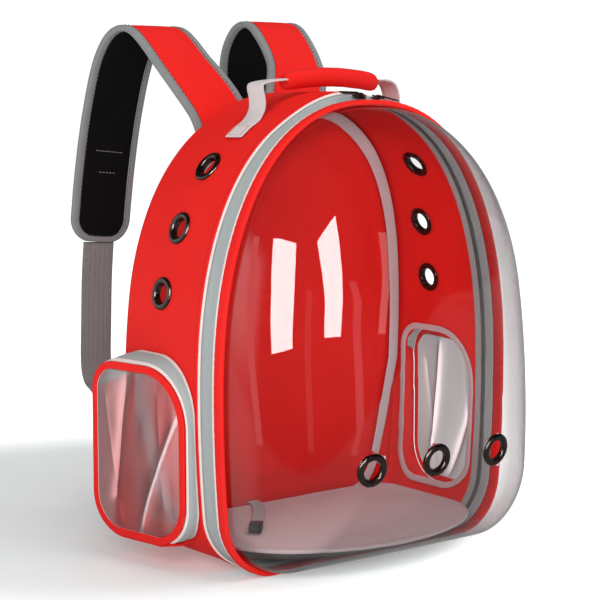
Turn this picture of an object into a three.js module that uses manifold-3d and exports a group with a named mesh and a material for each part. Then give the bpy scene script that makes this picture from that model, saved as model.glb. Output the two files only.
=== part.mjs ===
// Clear-dome pet carrier backpack, in millimetres with +Z up.
// The clear dome faces -Y, the shoulder straps are at the back (+Y), and the bag stands on z = 0.
import * as THREE from 'three';
import { mergeVertices } from 'three/addons/utils/BufferGeometryUtils.js';
import Module from 'manifold-3d';

const wasm = await Module();
wasm.setup();

// Bag form: a power arch over straight sides and round base corners, seen from the front.
const BAG_WIDTH = 338;
const BAG_HEIGHT = 420;
const BAG_DEPTH = 160;
const SPRING_HEIGHT = 160;
const ARCH_POWER = 2.3;
const BASE_CORNER_RADIUS = 52;
const BASE_TAPER = 0.06;
const ARCH_STEPS = 48;

// The handle draws the top up behind the rim: over the zip, and across a span about the middle.
const CROWN = { rise: 9, halfSpan: 85, from: 6.3, to: 31.5 };

// Cloth, seams and the gap that neighbouring pieces keep.
const CLOTH = 2.4;
const GAP = 0.3;
const BACK_PANEL_THICKNESS = 11;
const BACK_PANEL_BEVEL = 1.5;
const BACK_PANEL_RING_SIZES = [0.35, 0.7];
const BACK_LEAN = { from: 130, reach: 50 };
const BACK_MIDDLE_HEIGHT = 210;
// The taped seam draws in towards the base.
const SEAM_DRAW = { below: 155, slope: 0.21 };
const SEAM_TAPE_EDGE = 6;
const SEAM_TAPE_WIDTH = 12;
const SEAM_TAPE_THICKNESS = 1.6;

// Rounded back corner of the gusset: in from the wall and forward of the back face.
const BACK_ROUNDING = 12;
const GUSSET_CORNER_OUTSIDE = [
  { inward: 0, forward: 14 },
  { inward: 2, forward: 6 },
  { inward: 6, forward: 1.4 },
  { inward: BACK_ROUNDING, forward: 0 },
];
const GUSSET_CORNER_INSIDE = [
  { inward: BACK_ROUNDING, forward: CLOTH },
  { inward: 7.4, forward: CLOTH + 1.2 },
  { inward: 4.2, forward: CLOTH + 5 },
  { inward: CLOTH, forward: 14.4 },
];
const PANEL_EDGE = { inward: 4.5, forward: 8 };
const PANEL_STEP = { inward: BACK_ROUNDING + GAP, forward: CLOTH + 2.5 };

// Zip round the front opening: depths run back from the rim line.
const BINDING_FRONT = -6;
const BINDING_BACK = 6;
const BINDING_OUTSIDE = [
  { out: -1, depth: BINDING_FRONT },
  { out: 1, depth: BINDING_FRONT + 2 },
  { out: 1.4, depth: 0 },
  { out: 1, depth: BINDING_BACK - 1.5 },
  { out: -0.6, depth: BINDING_BACK },
];
const ZIP_BACK = 31.5;
const ZIP_RECESS = 2.1;
const ZIP_TAPE_THICKNESS = 1.8;
const PIPING_WIDTH = 3;
const PIPING_RECESS = 0.1;
const SLIDER = { length: 11, width: 9, height: 4.5, tabLength: 22, tabWidth: 6, tabThickness: 1.4 };
const SLIDER_SEAT = 0.8;
const SLIDER_PLACES = [{ name: 'left', x: 3, tabSide: -1 }, { name: 'right', x: 25, tabSide: 1 }];

// Clear dome.
const DOME_DEPTH = 104;
const DOME_WALL = 1.2;
const DOME_INSET = 3.8;
const DOME_CENTRE_HEIGHT = 250;
const DOME_POWER = 2.15;
const DOME_HIGH_POWER = 1.9;
const DOME_LOW_POWER = 2.8;
const DOME_EDGE_DEPTH = 4;
const DOME_RINGS = 8;

// Metal eyelets for air.
const EYELET = { hole: 9, barrel: 10.3, flange: 15.2, rise: 2.2, lip: 1.3 };
const EYELET_WASHER = { radius: 14.6, thickness: 1.1 };
const EYELET_SIDES = 12;
const EYELET_SEAT = 1;
const EYELET_DOME_GRIP = DOME_WALL + 2.2;
const EYELET_CLOTH_GRIP = CLOTH + 3 * EYELET_SEAT;
const WALL_HOLE = { radius: 11, reach: 30, sides: 16 };
const DOME_EYELETS = [{ name: 'left', x: -73 }, { name: 'centre', x: 0 }, { name: 'right', x: 73 }];
const DOME_EYELET_HEIGHT = 105;
const SIDE_EYELETS = {
  left: [
    { name: 'top', depth: 85, height: 361 },
    { name: 'middle', depth: 89, height: 306 },
    { name: 'low', depth: 96, height: 247 },
  ],
  right: [
    { name: 'top', depth: 69, height: 361 },
    { name: 'middle', depth: 93, height: 301 },
    { name: 'low', depth: 97, height: 243 },
  ],
};

// Side pockets: a base outline on the wall, a face outline that stands off further at the back.
const POCKET_BASE = {
  front: 34.5, back: 144, bottom: 27, top: 193, frontTop: 54, backTop: 26, backBottom: 34, frontBottom: 34,
};
const POCKET_FACE = {
  front: 37, back: 160, bottom: 23, top: 184, frontTop: 54, backTop: 28, backBottom: 38, frontBottom: 38,
};
const POCKET_STAND_FRONT = 10;
const POCKET_STAND_BACK = 30;
const POCKET_STEPS = 32;
const POCKET_ZIP_STEPS = 18;
const POCKET_CLOTH = 2;
const POCKET_FRAME_WIDTH = 7;
const POCKET_FILM = 1;
const POCKET_FILM_BULGE = 3;
const POCKET_FILM_BULGE_WIDTH = 20;
const POCKET_LEAST_RADIUS = 3;
const POCKET_SEAM_SHARE = 0.03;
const WINDOW_INSET = 6;
const WINDOW_CUT = { middle: 140, reach: 80 };
const WINDOW_BINDING_WIDTH = 8;
const POCKET_SEAT = 1;

// Floor mat: a row for each level, from the underside up.
const MAT_LEVELS = [
  { z: 2.7, halfWidth: 100, back: 138, front: 48 },
  { z: 10, halfWidth: 124, back: 141, front: -24 },
  { z: 18, halfWidth: 136, back: 142, front: -46 },
  { z: 23, halfWidth: 140, back: 142, front: -54 },
  { z: 25, halfWidth: 137, back: 139, front: -51 },
];
const MAT_SHOULDER = 40;
const MAT_CORNER = 22;
const MAT_TOP = 25;
const MAT_STEPS = 36;

// Sections of a strap as shares of its half width and half thickness: flat webbing, and a padded band.
const FLAT_SECTION = [[-1, 1], [1, 1], [1, -1], [-1, -1]];
const PADDED_SECTION = [[-1, 0], [-0.88, 1], [0.88, 1], [1, 0], [0.88, -1], [-0.88, -1]];

// Safety tether, sewn to the back panel, that lies on the mat.
const TETHER = { width: 12, thickness: 1.6, section: FLAT_SECTION };
const TETHER_ROUTE = [
  { x: -28, y: BAG_DEPTH - BACK_PANEL_THICKNESS - 2 * GAP },
  { x: -29, y: 138 },
  { x: -44, y: 112 },
  { x: -66, y: 84 },
  { x: -82, y: 64 },
];
const TETHER_STEPS = 10;
const CLIP = { length: 30, shoulder: 22.5, width: 14, neckWidth: 11.2, height: 7, arcSteps: 4 };

// Top handle, whose grip lies to the right of the middle. Webbing places are counted out from the middle,
// first on the wall, then up to the end of the grip.
const HANDLE_DEPTH = 76;
const GRIP = {
  middle: 14, halfLength: 57, height: 438, bow: 5, radiusAcross: 10, radiusUp: 10, steps: 10, sides: 12,
};
const WEBBING = { width: 25, thickness: 2.2, section: FLAT_SECTION };
const HANDLE_SEAT = 1;
const HANDLE_ROUTES = {
  left: {
    patch: [98, 87, 77],
    rise: [
      { x: 71, z: 412.5 },
      { x: 70.5, z: 422 },
      { x: 72.5, z: 430.5 },
      { x: 71.5, z: 435.5 },
      { x: 62, z: 438 },
      { x: 43.6, z: 440 },
    ],
  },
  right: {
    patch: [110, 102, 95],
    rise: [
      { x: 90, z: 408 },
      { x: 91, z: 419 },
      { x: 90, z: 429 },
      { x: 86, z: 436.5 },
      { x: 79.5, z: 440 },
      { x: 71.6, z: 440.5 },
    ],
  },
};
const HANDLE_STEPS = 18;

// Shoulder straps and their webbing, in rows from the sewn end. Each strap lies in its own way.
const STRAP = { width: 67, thickness: 9, section: PADDED_SECTION };
const STRAP_SEWN = [
  { x: 40, y: 165, z: 338 },
  { x: 40, y: 165, z: 362 },
  { x: 41, y: 165.8, z: 384 },
  { x: 48, y: 175.5, z: 415 },
];
const STRAP_ROUTES = {
  left: [
    ...STRAP_SEWN,
    { x: 67, y: 198, z: 454 },
    { x: 76, y: 233, z: 488 },
    { x: 80, y: 263, z: 488 },
    { x: 84, y: 286, z: 462 },
    { x: 90, y: 299, z: 410 },
    { x: 96, y: 306, z: 350 },
    { x: 102, y: 310, z: 278 },
  ],
  right: [
    ...STRAP_SEWN,
    { x: 67, y: 198, z: 455 },
    { x: 71, y: 236, z: 495 },
    { x: 73, y: 268, z: 497 },
    { x: 77, y: 296, z: 468 },
    { x: 85, y: 307, z: 414 },
    { x: 94, y: 310, z: 350 },
    { x: 102, y: 310, z: 278 },
  ],
};
const STRAP_STEPS = 18;
const STRAP_WEBBING = { width: 36, thickness: 2.2, section: FLAT_SECTION };
const STRAP_WEBBING_ROUTE = [
  { x: 102, y: 310, z: 278 - 5 * GAP },
  { x: 103.5, y: 312, z: 240 },
  { x: 105, y: 312, z: 195 },
  { x: 106.5, y: 311, z: 156 },
  { x: 108, y: 303, z: 137 },
  { x: 110, y: 284, z: 128 },
  { x: 113, y: 250, z: 112 },
  { x: 116, y: 208, z: 90 },
  { x: 116, y: BAG_DEPTH + 2 * GAP, z: 76 },
];
const STRAP_WEBBING_STEPS = 20;

const RED_CLOTH = { color: 0xe0261b, roughness: 0.78, metalness: 0 };
const GREY_TAPE = { color: 0x9aa4a4, roughness: 0.8, metalness: 0 };
const PALE_PIPING = { color: 0xe6dedd, roughness: 0.7, metalness: 0 };
const CLEAR_FILM = { color: 0xf1f3f4, roughness: 0.08, metalness: 0, transparent: true, opacity: 0.3 };
const DARK_METAL = { color: 0x3b3533, roughness: 0.35, metalness: 1 };
const MAT_CLOTH = { color: 0x8b8685, roughness: 0.9, metalness: 0 };
const BLACK_PLASTIC = { color: 0x1d1d1e, roughness: 0.5, metalness: 0 };

const backpack = new THREE.Group();

// Adds one named piece with a material of its own.
function addPiece(name, geometry, finish, parent = backpack) {
  const mesh = new THREE.Mesh(geometry, new THREE.MeshStandardMaterial(finish));
  mesh.name = name;
  parent.add(mesh);
  return mesh;
}

function signedVolume(position, index) {
  const corners = [new THREE.Vector3(), new THREE.Vector3(), new THREE.Vector3()];
  let total = 0;
  for (let i = 0; i < index.length; i += 3) {
    corners.forEach((corner, k) => corner.fromArray(position, 3 * index[i + k]));
    total += corners[0].dot(corners[1].clone().cross(corners[2])) / 6;
  }
  return total;
}

// A closed surface from points and triangles, turned to face out.
function closedGeometry(points, index) {
  const position = points.flatMap((point) => point.toArray());
  const facing = signedVolume(position, index) < 0 ? [...index].reverse() : index;
  const geometry = new THREE.BufferGeometry();
  geometry.setAttribute('position', new THREE.Float32BufferAttribute(position, 3));
  geometry.setIndex(facing);
  return geometry;
}

function centroid(ring) {
  return ring.reduce((sum, point) => sum.add(point), new THREE.Vector3()).divideScalar(ring.length);
}

// Skins a row of rings with equal counts. A loop joins the last ring to the first, and otherwise
// each end is closed by a fan round a tip, at the ring's own centre unless one is given.
function skin(rings, { loop = false, tips = [] } = {}) {
  const count = rings[0].length;
  const points = rings.flat().map((point) => point.clone());
  const index = [];
  const spans = loop ? rings.length : rings.length - 1;
  for (let i = 0; i < spans; i += 1) {
    const near = i * count;
    const far = ((i + 1) % rings.length) * count;
    for (let k = 0; k < count; k += 1) {
      const next = (k + 1) % count;
      index.push(near + k, near + next, far + next, near + k, far + next, far + k);
    }
  }
  if (!loop) {
    const first = points.push(tips[0] ?? centroid(rings[0])) - 1;
    const last = points.push(tips[1] ?? centroid(rings[rings.length - 1])) - 1;
    const end = (rings.length - 1) * count;
    for (let k = 0; k < count; k += 1) {
      const next = (k + 1) % count;
      index.push(first, next, k, last, end + k, end + next);
    }
  }
  return closedGeometry(points, index);
}

function toSolid(geometry) {
  const bare = geometry.clone();
  bare.deleteAttribute('normal');
  bare.deleteAttribute('uv');
  const merged = mergeVertices(bare, 1e-4);
  const vertProperties = new Float32Array(merged.attributes.position.array);
  const triVerts = new Uint32Array(merged.index.array);
  return new wasm.Manifold(new wasm.Mesh({ numProp: 3, vertProperties, triVerts }));
}

function fromSolid(solid) {
  const mesh = solid.getMesh();
  const geometry = new THREE.BufferGeometry();
  geometry.setAttribute('position', new THREE.Float32BufferAttribute(mesh.vertProperties, 3));
  geometry.setIndex(Array.from(mesh.triVerts));
  return geometry;
}

function cutAway(geometry, cutters) {
  return fromSolid(cutters.reduce((left, cutter) => left.subtract(toSolid(cutter)), toSolid(geometry)));
}

// Half width of the rim at a height above the base.
function rimHalfWidth(z) {
  const half = BAG_WIDTH / 2;
  if (z > SPRING_HEIGHT) {
    const rise = Math.min((z - SPRING_HEIGHT) / (BAG_HEIGHT - SPRING_HEIGHT), 1);
    return half * (1 - rise ** ARCH_POWER) ** (1 / ARCH_POWER);
  }
  const drop = Math.max(BASE_CORNER_RADIUS - z, 0);
  const corner = BASE_CORNER_RADIUS - Math.sqrt(BASE_CORNER_RADIUS ** 2 - drop ** 2);
  return (half - corner) * (1 - BASE_TAPER * (1 - z / SPRING_HEIGHT) ** 2);
}

// Evenly spaced points of the rim with their outward normals, from the middle of the base.
function rimLine() {
  const turn = [0, 15, 30, 45, 60, 75, 90].map(THREE.MathUtils.degToRad);
  const cornerHeights = turn.map((angle) => BASE_CORNER_RADIUS * (1 - Math.cos(angle)));
  const archHeights = turn.map(
    (angle) => SPRING_HEIGHT + (BAG_HEIGHT - SPRING_HEIGHT) * Math.sin(angle) ** (2 / ARCH_POWER),
  );
  const sideHeight = (BASE_CORNER_RADIUS + SPRING_HEIGHT) / 2;
  const heights = [...cornerHeights, sideHeight, ...archHeights.slice(0, -1)];
  const right = heights.map((z) => new THREE.Vector3(rimHalfWidth(z), 0, z));
  const left = [...right].reverse().map((point) => new THREE.Vector3(-point.x, 0, point.z));
  const base = new THREE.Vector3(0, 0, 0);
  const top = new THREE.Vector3(0, 0, BAG_HEIGHT);
  const curve = new THREE.CatmullRomCurve3([base, ...right, top, ...left], true);
  const points = curve.getSpacedPoints(ARCH_STEPS).slice(0, ARCH_STEPS);
  return points.map((point, i) => {
    const before = points[(i + ARCH_STEPS - 1) % ARCH_STEPS];
    const after = points[(i + 1) % ARCH_STEPS];
    const along = after.clone().sub(before).normalize();
    return { point, normal: new THREE.Vector3(along.z, 0, -along.x) };
  });
}
const RIM = rimLine();

// How far the top is drawn up at a place.
function crownAt(x, depth, z) {
  if (z < SPRING_HEIGHT || Math.abs(x) > CROWN.halfSpan) return 0;
  const back = THREE.MathUtils.clamp((depth - CROWN.from) / (CROWN.to - CROWN.from), 0, 1);
  return CROWN.rise * back * Math.cos((Math.PI / 2) * (x / CROWN.halfSpan)) ** 2;
}

// The rim moved out by a distance and back by a depth. The base is flat, so nothing goes below it.
function rimRing(out, depth) {
  return RIM.map(({ point, normal }) => {
    const { x, z } = point.clone().addScaledVector(normal, out);
    return new THREE.Vector3(x, depth, Math.max(z, 0) + crownAt(x, depth, z));
  });
}

// Depth of the padded face of the back panel, which leans in towards the top.
function backFace(z) {
  const share = Math.max(z - BACK_LEAN.from, 0) / (BAG_HEIGHT - BACK_LEAN.from);
  return BAG_DEPTH - BACK_PANEL_THICKNESS - BACK_LEAN.reach * share ** 2;
}

// A ring laid on that face. A size under one draws it in towards the middle of the panel.
function backFaceRing(out, lift, size = 1) {
  const middle = new THREE.Vector3(0, BAG_DEPTH, BACK_MIDDLE_HEIGHT);
  return rimRing(out, BAG_DEPTH).map((edge) => {
    const point = edge.lerp(middle, 1 - size);
    return point.setY(backFace(point.z) - lift);
  });
}

// The same ring drawn in towards the base as the taped seam is.
function seamRing(out, lift, size = 1) {
  return backFaceRing(out, lift, size).map((point) => {
    const draw = SEAM_DRAW.slope * Math.max(SEAM_DRAW.below - point.z, 0);
    return point.setX(point.x * (1 - draw / (BAG_WIDTH / 2)));
  });
}

// A band round the whole rim from the corners of its section, each a distance out and a depth.
function rimBand(section) {
  return skin(section.map(([out, depth]) => rimRing(out, depth)), { loop: true });
}

// Where the faceted side wall lies at a height, and the slope of its outward normal there.
function wallAt(z, out = 0) {
  const ring = rimRing(out, 0);
  for (let i = 0; i < ARCH_STEPS / 2; i += 1) {
    const [low, high] = [ring[i], ring[i + 1]];
    if (low.z <= z && z <= high.z && high.z > low.z) {
      const share = (z - low.z) / (high.z - low.z);
      const normal = new THREE.Vector3(high.z - low.z, 0, low.x - high.x).normalize();
      return { x: THREE.MathUtils.lerp(low.x, high.x, share), normal };
    }
  }
  throw new Error(`no wall at height ${z}`);
}

// Height of the faceted top at a place across it.
function wallTop(x, out, depth = 0) {
  const ring = rimRing(out, depth);
  for (let i = 0; i < ARCH_STEPS; i += 1) {
    const [right, left] = [ring[i], ring[(i + 1) % ARCH_STEPS]];
    if (right.z > SPRING_HEIGHT && left.x <= x && x <= right.x) {
      return THREE.MathUtils.lerp(left.z, right.z, (x - left.x) / (right.x - left.x));
    }
  }
  throw new Error(`no top at ${x}`);
}

// A flat outline in depth and height, pushed along X.
function alongX(points, from, to) {
  const outline = new THREE.Shape(points);
  const block = new THREE.ExtrudeGeometry(outline, { depth: to - from, bevelEnabled: false });
  const turn = new THREE.Matrix4().makeBasis(
    new THREE.Vector3(0, 1, 0),
    new THREE.Vector3(0, 0, 1),
    new THREE.Vector3(1, 0, 0),
  );
  return block.applyMatrix4(turn).translate(from, 0, 0);
}

// A round hole through a wall, with its axis along the wall's normal.
function holeCutter(place, normal) {
  const { radius, reach, sides } = WALL_HOLE;
  const cutter = new THREE.CylinderGeometry(radius, radius, reach, sides);
  const turn = new THREE.Quaternion().setFromUnitVectors(new THREE.Vector3(0, 1, 0), normal);
  return cutter.applyQuaternion(turn).translate(place.x, place.y, place.z);
}

// A rolled eyelet: a domed outer flange, a barrel through the wall and a washer inside.
function addEyelet(name, place, normal, grip) {
  const { hole, barrel, flange, rise, lip } = EYELET;
  const inside = -grip - EYELET_WASHER.thickness;
  const profile = [
    [hole, inside],
    [EYELET_WASHER.radius, inside],
    [EYELET_WASHER.radius, -grip],
    [barrel, -grip],
    [barrel, 0],
    [flange, 0],
    [(flange + hole) / 2, rise],
    [hole, lip],
    [hole, inside],
  ].map(([radius, height]) => new THREE.Vector2(radius, height));
  const mesh = addPiece(name, new THREE.LatheGeometry(profile, EYELET_SIDES), DARK_METAL);
  mesh.position.copy(place);
  mesh.quaternion.setFromUnitVectors(new THREE.Vector3(0, 1, 0), normal);
}

// Rounded outline of a pocket in depth and height, from the top of its back edge round by the front.
function pocketOutline(edges, inset = 0) {
  const [front, back] = [edges.front + inset, edges.back - inset];
  const [bottom, top] = [edges.bottom + inset, edges.top - inset];
  const radii = [edges.backTop, edges.frontTop, edges.frontBottom, edges.backBottom];
  const [bt, ft, fb, bb] = radii.map((radius) => Math.max(radius - inset, POCKET_LEAST_RADIUS));
  const quarter = Math.PI / 2;
  const path = new THREE.Path();
  path.moveTo(back, top - bt);
  path.absarc(back - bt, top - bt, bt, 0, quarter);
  path.absarc(front + ft, top - ft, ft, quarter, 2 * quarter);
  path.absarc(front + fb, bottom + fb, fb, 2 * quarter, 3 * quarter);
  path.absarc(back - bb, bottom + bb, bb, 3 * quarter, 4 * quarter);
  path.closePath();
  return path.getSpacedPoints(POCKET_STEPS).slice(0, POCKET_STEPS);
}

// Gusset: the side wall that runs round the bag, over the top and under the base.
function addGusset() {
  const front = ZIP_BACK + GAP;
  const corner = [...GUSSET_CORNER_OUTSIDE, ...GUSSET_CORNER_INSIDE];
  const backCorner = corner.map(({ inward, forward }) => [-inward, BAG_DEPTH - forward]);
  const shell = rimBand([[0, front], ...backCorner, [-CLOTH, front]]);
  const cutters = [];
  for (const [sideName, side] of [['left', -1], ['right', 1]]) {
    const { middle, reach } = WINDOW_CUT;
    const outline = pocketOutline(POCKET_BASE, WINDOW_INSET);
    cutters.push(alongX(outline, side * middle - reach, side * middle + reach));
    for (const { depth, height } of SIDE_EYELETS[sideName]) {
      const wall = wallAt(height);
      const normal = new THREE.Vector3(side * wall.normal.x, 0, wall.normal.z);
      cutters.push(holeCutter(new THREE.Vector3(side * wall.x, depth, height), normal));
    }
  }
  addPiece('gusset', cutAway(shell, cutters), RED_CLOTH);
}

// Back panel: a padded board that closes the gusset, with the taped seam inside.
function addBackPanel() {
  const middle = new THREE.Vector3(0, backFace(BACK_MIDDLE_HEIGHT), BACK_MIDDLE_HEIGHT);
  const [tapeOut, tapeIn] = [-SEAM_TAPE_EDGE, -SEAM_TAPE_EDGE - SEAM_TAPE_WIDTH];
  const panel = [
    ...BACK_PANEL_RING_SIZES.map((size) => seamRing(tapeOut, 0, size)),
    seamRing(tapeIn, 0),
    seamRing(tapeOut, 0),
    backFaceRing(-PANEL_EDGE.inward, -BACK_PANEL_BEVEL),
    rimRing(-PANEL_EDGE.inward, BAG_DEPTH - PANEL_EDGE.forward),
    rimRing(-PANEL_STEP.inward, BAG_DEPTH - PANEL_STEP.forward),
    rimRing(-PANEL_STEP.inward, BAG_DEPTH),
  ];
  addPiece('back_panel', skin(panel, { tips: [middle] }), RED_CLOTH);
  const [tapeBack, tapeFront] = [2 * GAP, 2 * GAP + SEAM_TAPE_THICKNESS];
  const section = [[tapeOut, tapeFront], [tapeOut, tapeBack], [tapeIn, tapeBack], [tapeIn, tapeFront]];
  const tape = section.map(([out, lift]) => seamRing(out, lift));
  addPiece('seam_binding', skin(tape, { loop: true }), GREY_TAPE);
}

// Zip round the opening: tape, its two pale edges, and two sliders at the top.
function addZip() {
  const start = BINDING_BACK + GAP;
  const [upper, under] = [-ZIP_RECESS, -ZIP_RECESS - ZIP_TAPE_THICKNESS];
  const tape = rimBand([[upper, start], [upper, ZIP_BACK], [under, ZIP_BACK], [under, start]]);
  addPiece('zipper_tape', tape, GREY_TAPE);
  const edges = { front: start, rear: ZIP_BACK - PIPING_WIDTH };
  for (const [name, from] of Object.entries(edges)) {
    const to = from + PIPING_WIDTH;
    const [outer, inner] = [-PIPING_RECESS, -ZIP_RECESS + 2 * GAP];
    const piping = rimBand([[outer, from], [outer, to], [inner, to], [inner, from]]);
    addPiece(`zipper_piping_${name}`, piping, PALE_PIPING);
  }
  for (const { name, x, tabSide } of SLIDER_PLACES) {
    addPiece(`zip_slider_${name}`, sliderGeometry(x, tabSide), DARK_METAL);
  }
}

// A slider block on the tape with its pull tab lying back along the zip, away from the middle.
function sliderGeometry(x, tabSide) {
  const { length, width, height, tabLength, tabWidth, tabThickness } = SLIDER;
  const middle = (BINDING_BACK + ZIP_BACK) / 2;
  const tapeAt = (place, depth) => wallTop(place, -ZIP_RECESS, depth);
  const climb = (tapeAt(x, middle + width / 2) - tapeAt(x, middle - width / 2)) / width;
  const slope = (tapeAt(x + length / 2, middle) - tapeAt(x - length / 2, middle)) / length;
  const block = new THREE.BoxGeometry(length, width, height).translate(0, 0, height / 2);
  const tab = new THREE.BoxGeometry(tabLength, tabWidth, tabThickness);
  tab.translate(tabSide * (tabLength / 2), 0, height);
  const joined = fromSolid(toSolid(block).add(toSolid(tab)));
  joined.rotateX(Math.atan(climb)).rotateY(-Math.atan(slope));
  return joined.translate(x, middle, tapeAt(x, middle) + SLIDER_SEAT);
}

// Binding: the red cloth edge between the zip and the dome.
function addRimBinding() {
  const inner = -DOME_INSET + GAP;
  const outside = BINDING_OUTSIDE.map(({ out, depth }) => [out, depth]);
  const binding = rimBand([...outside, [inner, BINDING_BACK], [inner, BINDING_FRONT]]);
  addPiece('rim_binding', binding, RED_CLOTH);
}

const DOME_RIM = rimRing(-DOME_INSET, 0);

// The dome swells from the rim by a power curve, rounder over the top and boxier down to the base.
function domePower(rise) {
  return THREE.MathUtils.lerp(DOME_POWER, rise < 0 ? DOME_LOW_POWER : DOME_HIGH_POWER, Math.abs(rise));
}

function domeSwell(share, rise, depth) {
  const power = domePower(rise);
  return -depth * (1 - share ** power) ** (1 / power);
}

function domeRing(share, wall) {
  return DOME_RIM.map((point, i) => {
    const edge = point.clone().addScaledVector(RIM[i].normal, -wall);
    const spread = new THREE.Vector2(edge.x, edge.z - DOME_CENTRE_HEIGHT);
    const rise = spread.y / spread.length();
    const depth = share < 1 ? domeSwell(share, rise, DOME_DEPTH - wall) : 0;
    return new THREE.Vector3(edge.x * share, depth, DOME_CENTRE_HEIGHT + spread.y * share);
  });
}

// Depth of the dome's outer face over a point of the front view.
function domeDepthAt(x, z) {
  const spread = new THREE.Vector2(x, z - DOME_CENTRE_HEIGHT);
  for (let i = 0; i < ARCH_STEPS; i += 1) {
    const a = new THREE.Vector2(DOME_RIM[i].x, DOME_RIM[i].z - DOME_CENTRE_HEIGHT);
    const b3 = DOME_RIM[(i + 1) % ARCH_STEPS];
    const along = new THREE.Vector2(b3.x, b3.z - DOME_CENTRE_HEIGHT).sub(a);
    const cross = spread.cross(along);
    const stretch = a.cross(along) / cross;
    const place = a.cross(spread) / cross;
    if (stretch > 0 && place >= 0 && place <= 1) {
      return domeSwell(1 / stretch, spread.y / spread.length(), DOME_DEPTH);
    }
  }
  throw new Error('point outside the dome');
}

function addDome() {
  const shares = Array.from({ length: DOME_RINGS }, (_, i) => {
    const angle = ((i + 1) / (DOME_RINGS + 1)) * (Math.PI / 2);
    return Math.cos(angle) ** (2 / DOME_POWER);
  });
  const rimEdge = (wall) => domeRing(1, wall).map((point) => point.setY(DOME_EDGE_DEPTH));
  const outer = [rimEdge(0), ...shares.map((share) => domeRing(share, 0))];
  const inner = [rimEdge(DOME_WALL), ...shares.map((share) => domeRing(share, DOME_WALL))];
  const rings = [...outer.reverse(), ...inner];
  const tips = [DOME_DEPTH, DOME_DEPTH - DOME_WALL].map((y) => new THREE.Vector3(0, -y, DOME_CENTRE_HEIGHT));
  const shell = skin(rings, { tips });
  const places = DOME_EYELETS.map(({ name, x }) => {
    const z = DOME_EYELET_HEIGHT;
    const y = domeDepthAt(x, z);
    const near = EYELET.hole;
    const slopeX = (domeDepthAt(x + near, z) - domeDepthAt(x - near, z)) / (2 * near);
    const slopeZ = (domeDepthAt(x, z + near) - domeDepthAt(x, z - near)) / (2 * near);
    const normal = new THREE.Vector3(slopeX, -1, slopeZ).normalize();
    return { name, place: new THREE.Vector3(x, y, z), normal };
  });
  addPiece('dome', cutAway(shell, places.map(({ place, normal }) => holeCutter(place, normal))), CLEAR_FILM);
  for (const { name, place, normal } of places) {
    addEyelet(`dome_eyelet_${name}`, place, normal, EYELET_DOME_GRIP);
  }
}

function addSideEyelets() {
  for (const [sideName, side] of [['left', -1], ['right', 1]]) {
    for (const { name, depth, height } of SIDE_EYELETS[sideName]) {
      const wall = wallAt(height);
      const normal = new THREE.Vector3(side * wall.normal.x, 0, wall.normal.z);
      const place = new THREE.Vector3(side * wall.x, depth, height).addScaledVector(normal, EYELET_SEAT);
      addEyelet(`side_eyelet_${sideName}_${name}`, place, normal, EYELET_CLOTH_GRIP);
    }
  }
}

// How far out the pocket's face lies at a depth.
function pocketFaceX(depth) {
  const share = (depth - POCKET_FACE.front) / (POCKET_FACE.back - POCKET_FACE.front);
  return BAG_WIDTH / 2 + THREE.MathUtils.lerp(POCKET_STAND_FRONT, POCKET_STAND_BACK, share);
}

// One side pocket: zip band over the top and front, cloth below and behind, red frame and clear film.
function addPocket(sideName, side) {
  const onWall = (point) => new THREE.Vector3(side * (wallAt(point.y).x + POCKET_SEAT), point.x, point.y);
  const onFace = (point, off) => new THREE.Vector3(side * (pocketFaceX(point.x) + off), point.x, point.y);
  const bandTop = -POCKET_CLOTH / 2 - GAP;
  const corners = [
    pocketOutline(POCKET_BASE).map(onWall),
    pocketOutline(POCKET_FACE).map((point) => onFace(point, bandTop)),
    pocketOutline(POCKET_FACE, POCKET_CLOTH).map((point) => onFace(point, bandTop)),
    pocketOutline(POCKET_BASE, POCKET_CLOTH).map(onWall),
  ];
  const sectionAt = (step) => corners.map((ring) => ring[step % POCKET_STEPS]);
  const between = (step, share) => corners.map((ring) => {
    const [a, b] = [ring[step % POCKET_STEPS], ring[(step + 1) % POCKET_STEPS]];
    return a.clone().lerp(b, share);
  });
  const zipSections = Array.from({ length: POCKET_ZIP_STEPS + 1 }, (_, i) => sectionAt(i));
  const clothSteps = POCKET_STEPS - POCKET_ZIP_STEPS;
  const clothSections = Array.from({ length: clothSteps + 1 }, (_, i) => sectionAt(POCKET_ZIP_STEPS + i));
  clothSections[0] = between(POCKET_ZIP_STEPS, POCKET_SEAM_SHARE);
  clothSections[clothSteps] = between(POCKET_STEPS - 1, 1 - POCKET_SEAM_SHARE);
  addPiece(`pocket_zipper_${sideName}`, skin(zipSections), GREY_TAPE);
  addPiece(`pocket_gusset_${sideName}`, skin(clothSections), RED_CLOTH);

  const half = POCKET_CLOTH / 2;
  const frameRing = (inset, off) => pocketOutline(POCKET_FACE, inset).map((point) => onFace(point, off));
  const width = POCKET_FRAME_WIDTH;
  const frame = [frameRing(0, -half), frameRing(0, half), frameRing(width, half), frameRing(width, -half)];
  addPiece(`pocket_frame_${sideName}`, skin(frame, { loop: true }), RED_CLOTH);

  const filmInset = width + GAP;
  const bulgeInset = filmInset + POCKET_FILM_BULGE_WIDTH;
  const filmHalf = POCKET_FILM / 2;
  const bulge = POCKET_FILM_BULGE;
  const film = [
    frameRing(bulgeInset, bulge - filmHalf),
    frameRing(filmInset, -filmHalf),
    frameRing(filmInset, filmHalf),
    frameRing(bulgeInset, bulge + filmHalf),
  ];
  addPiece(`pocket_film_${sideName}`, skin(film), CLEAR_FILM);
}

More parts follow.
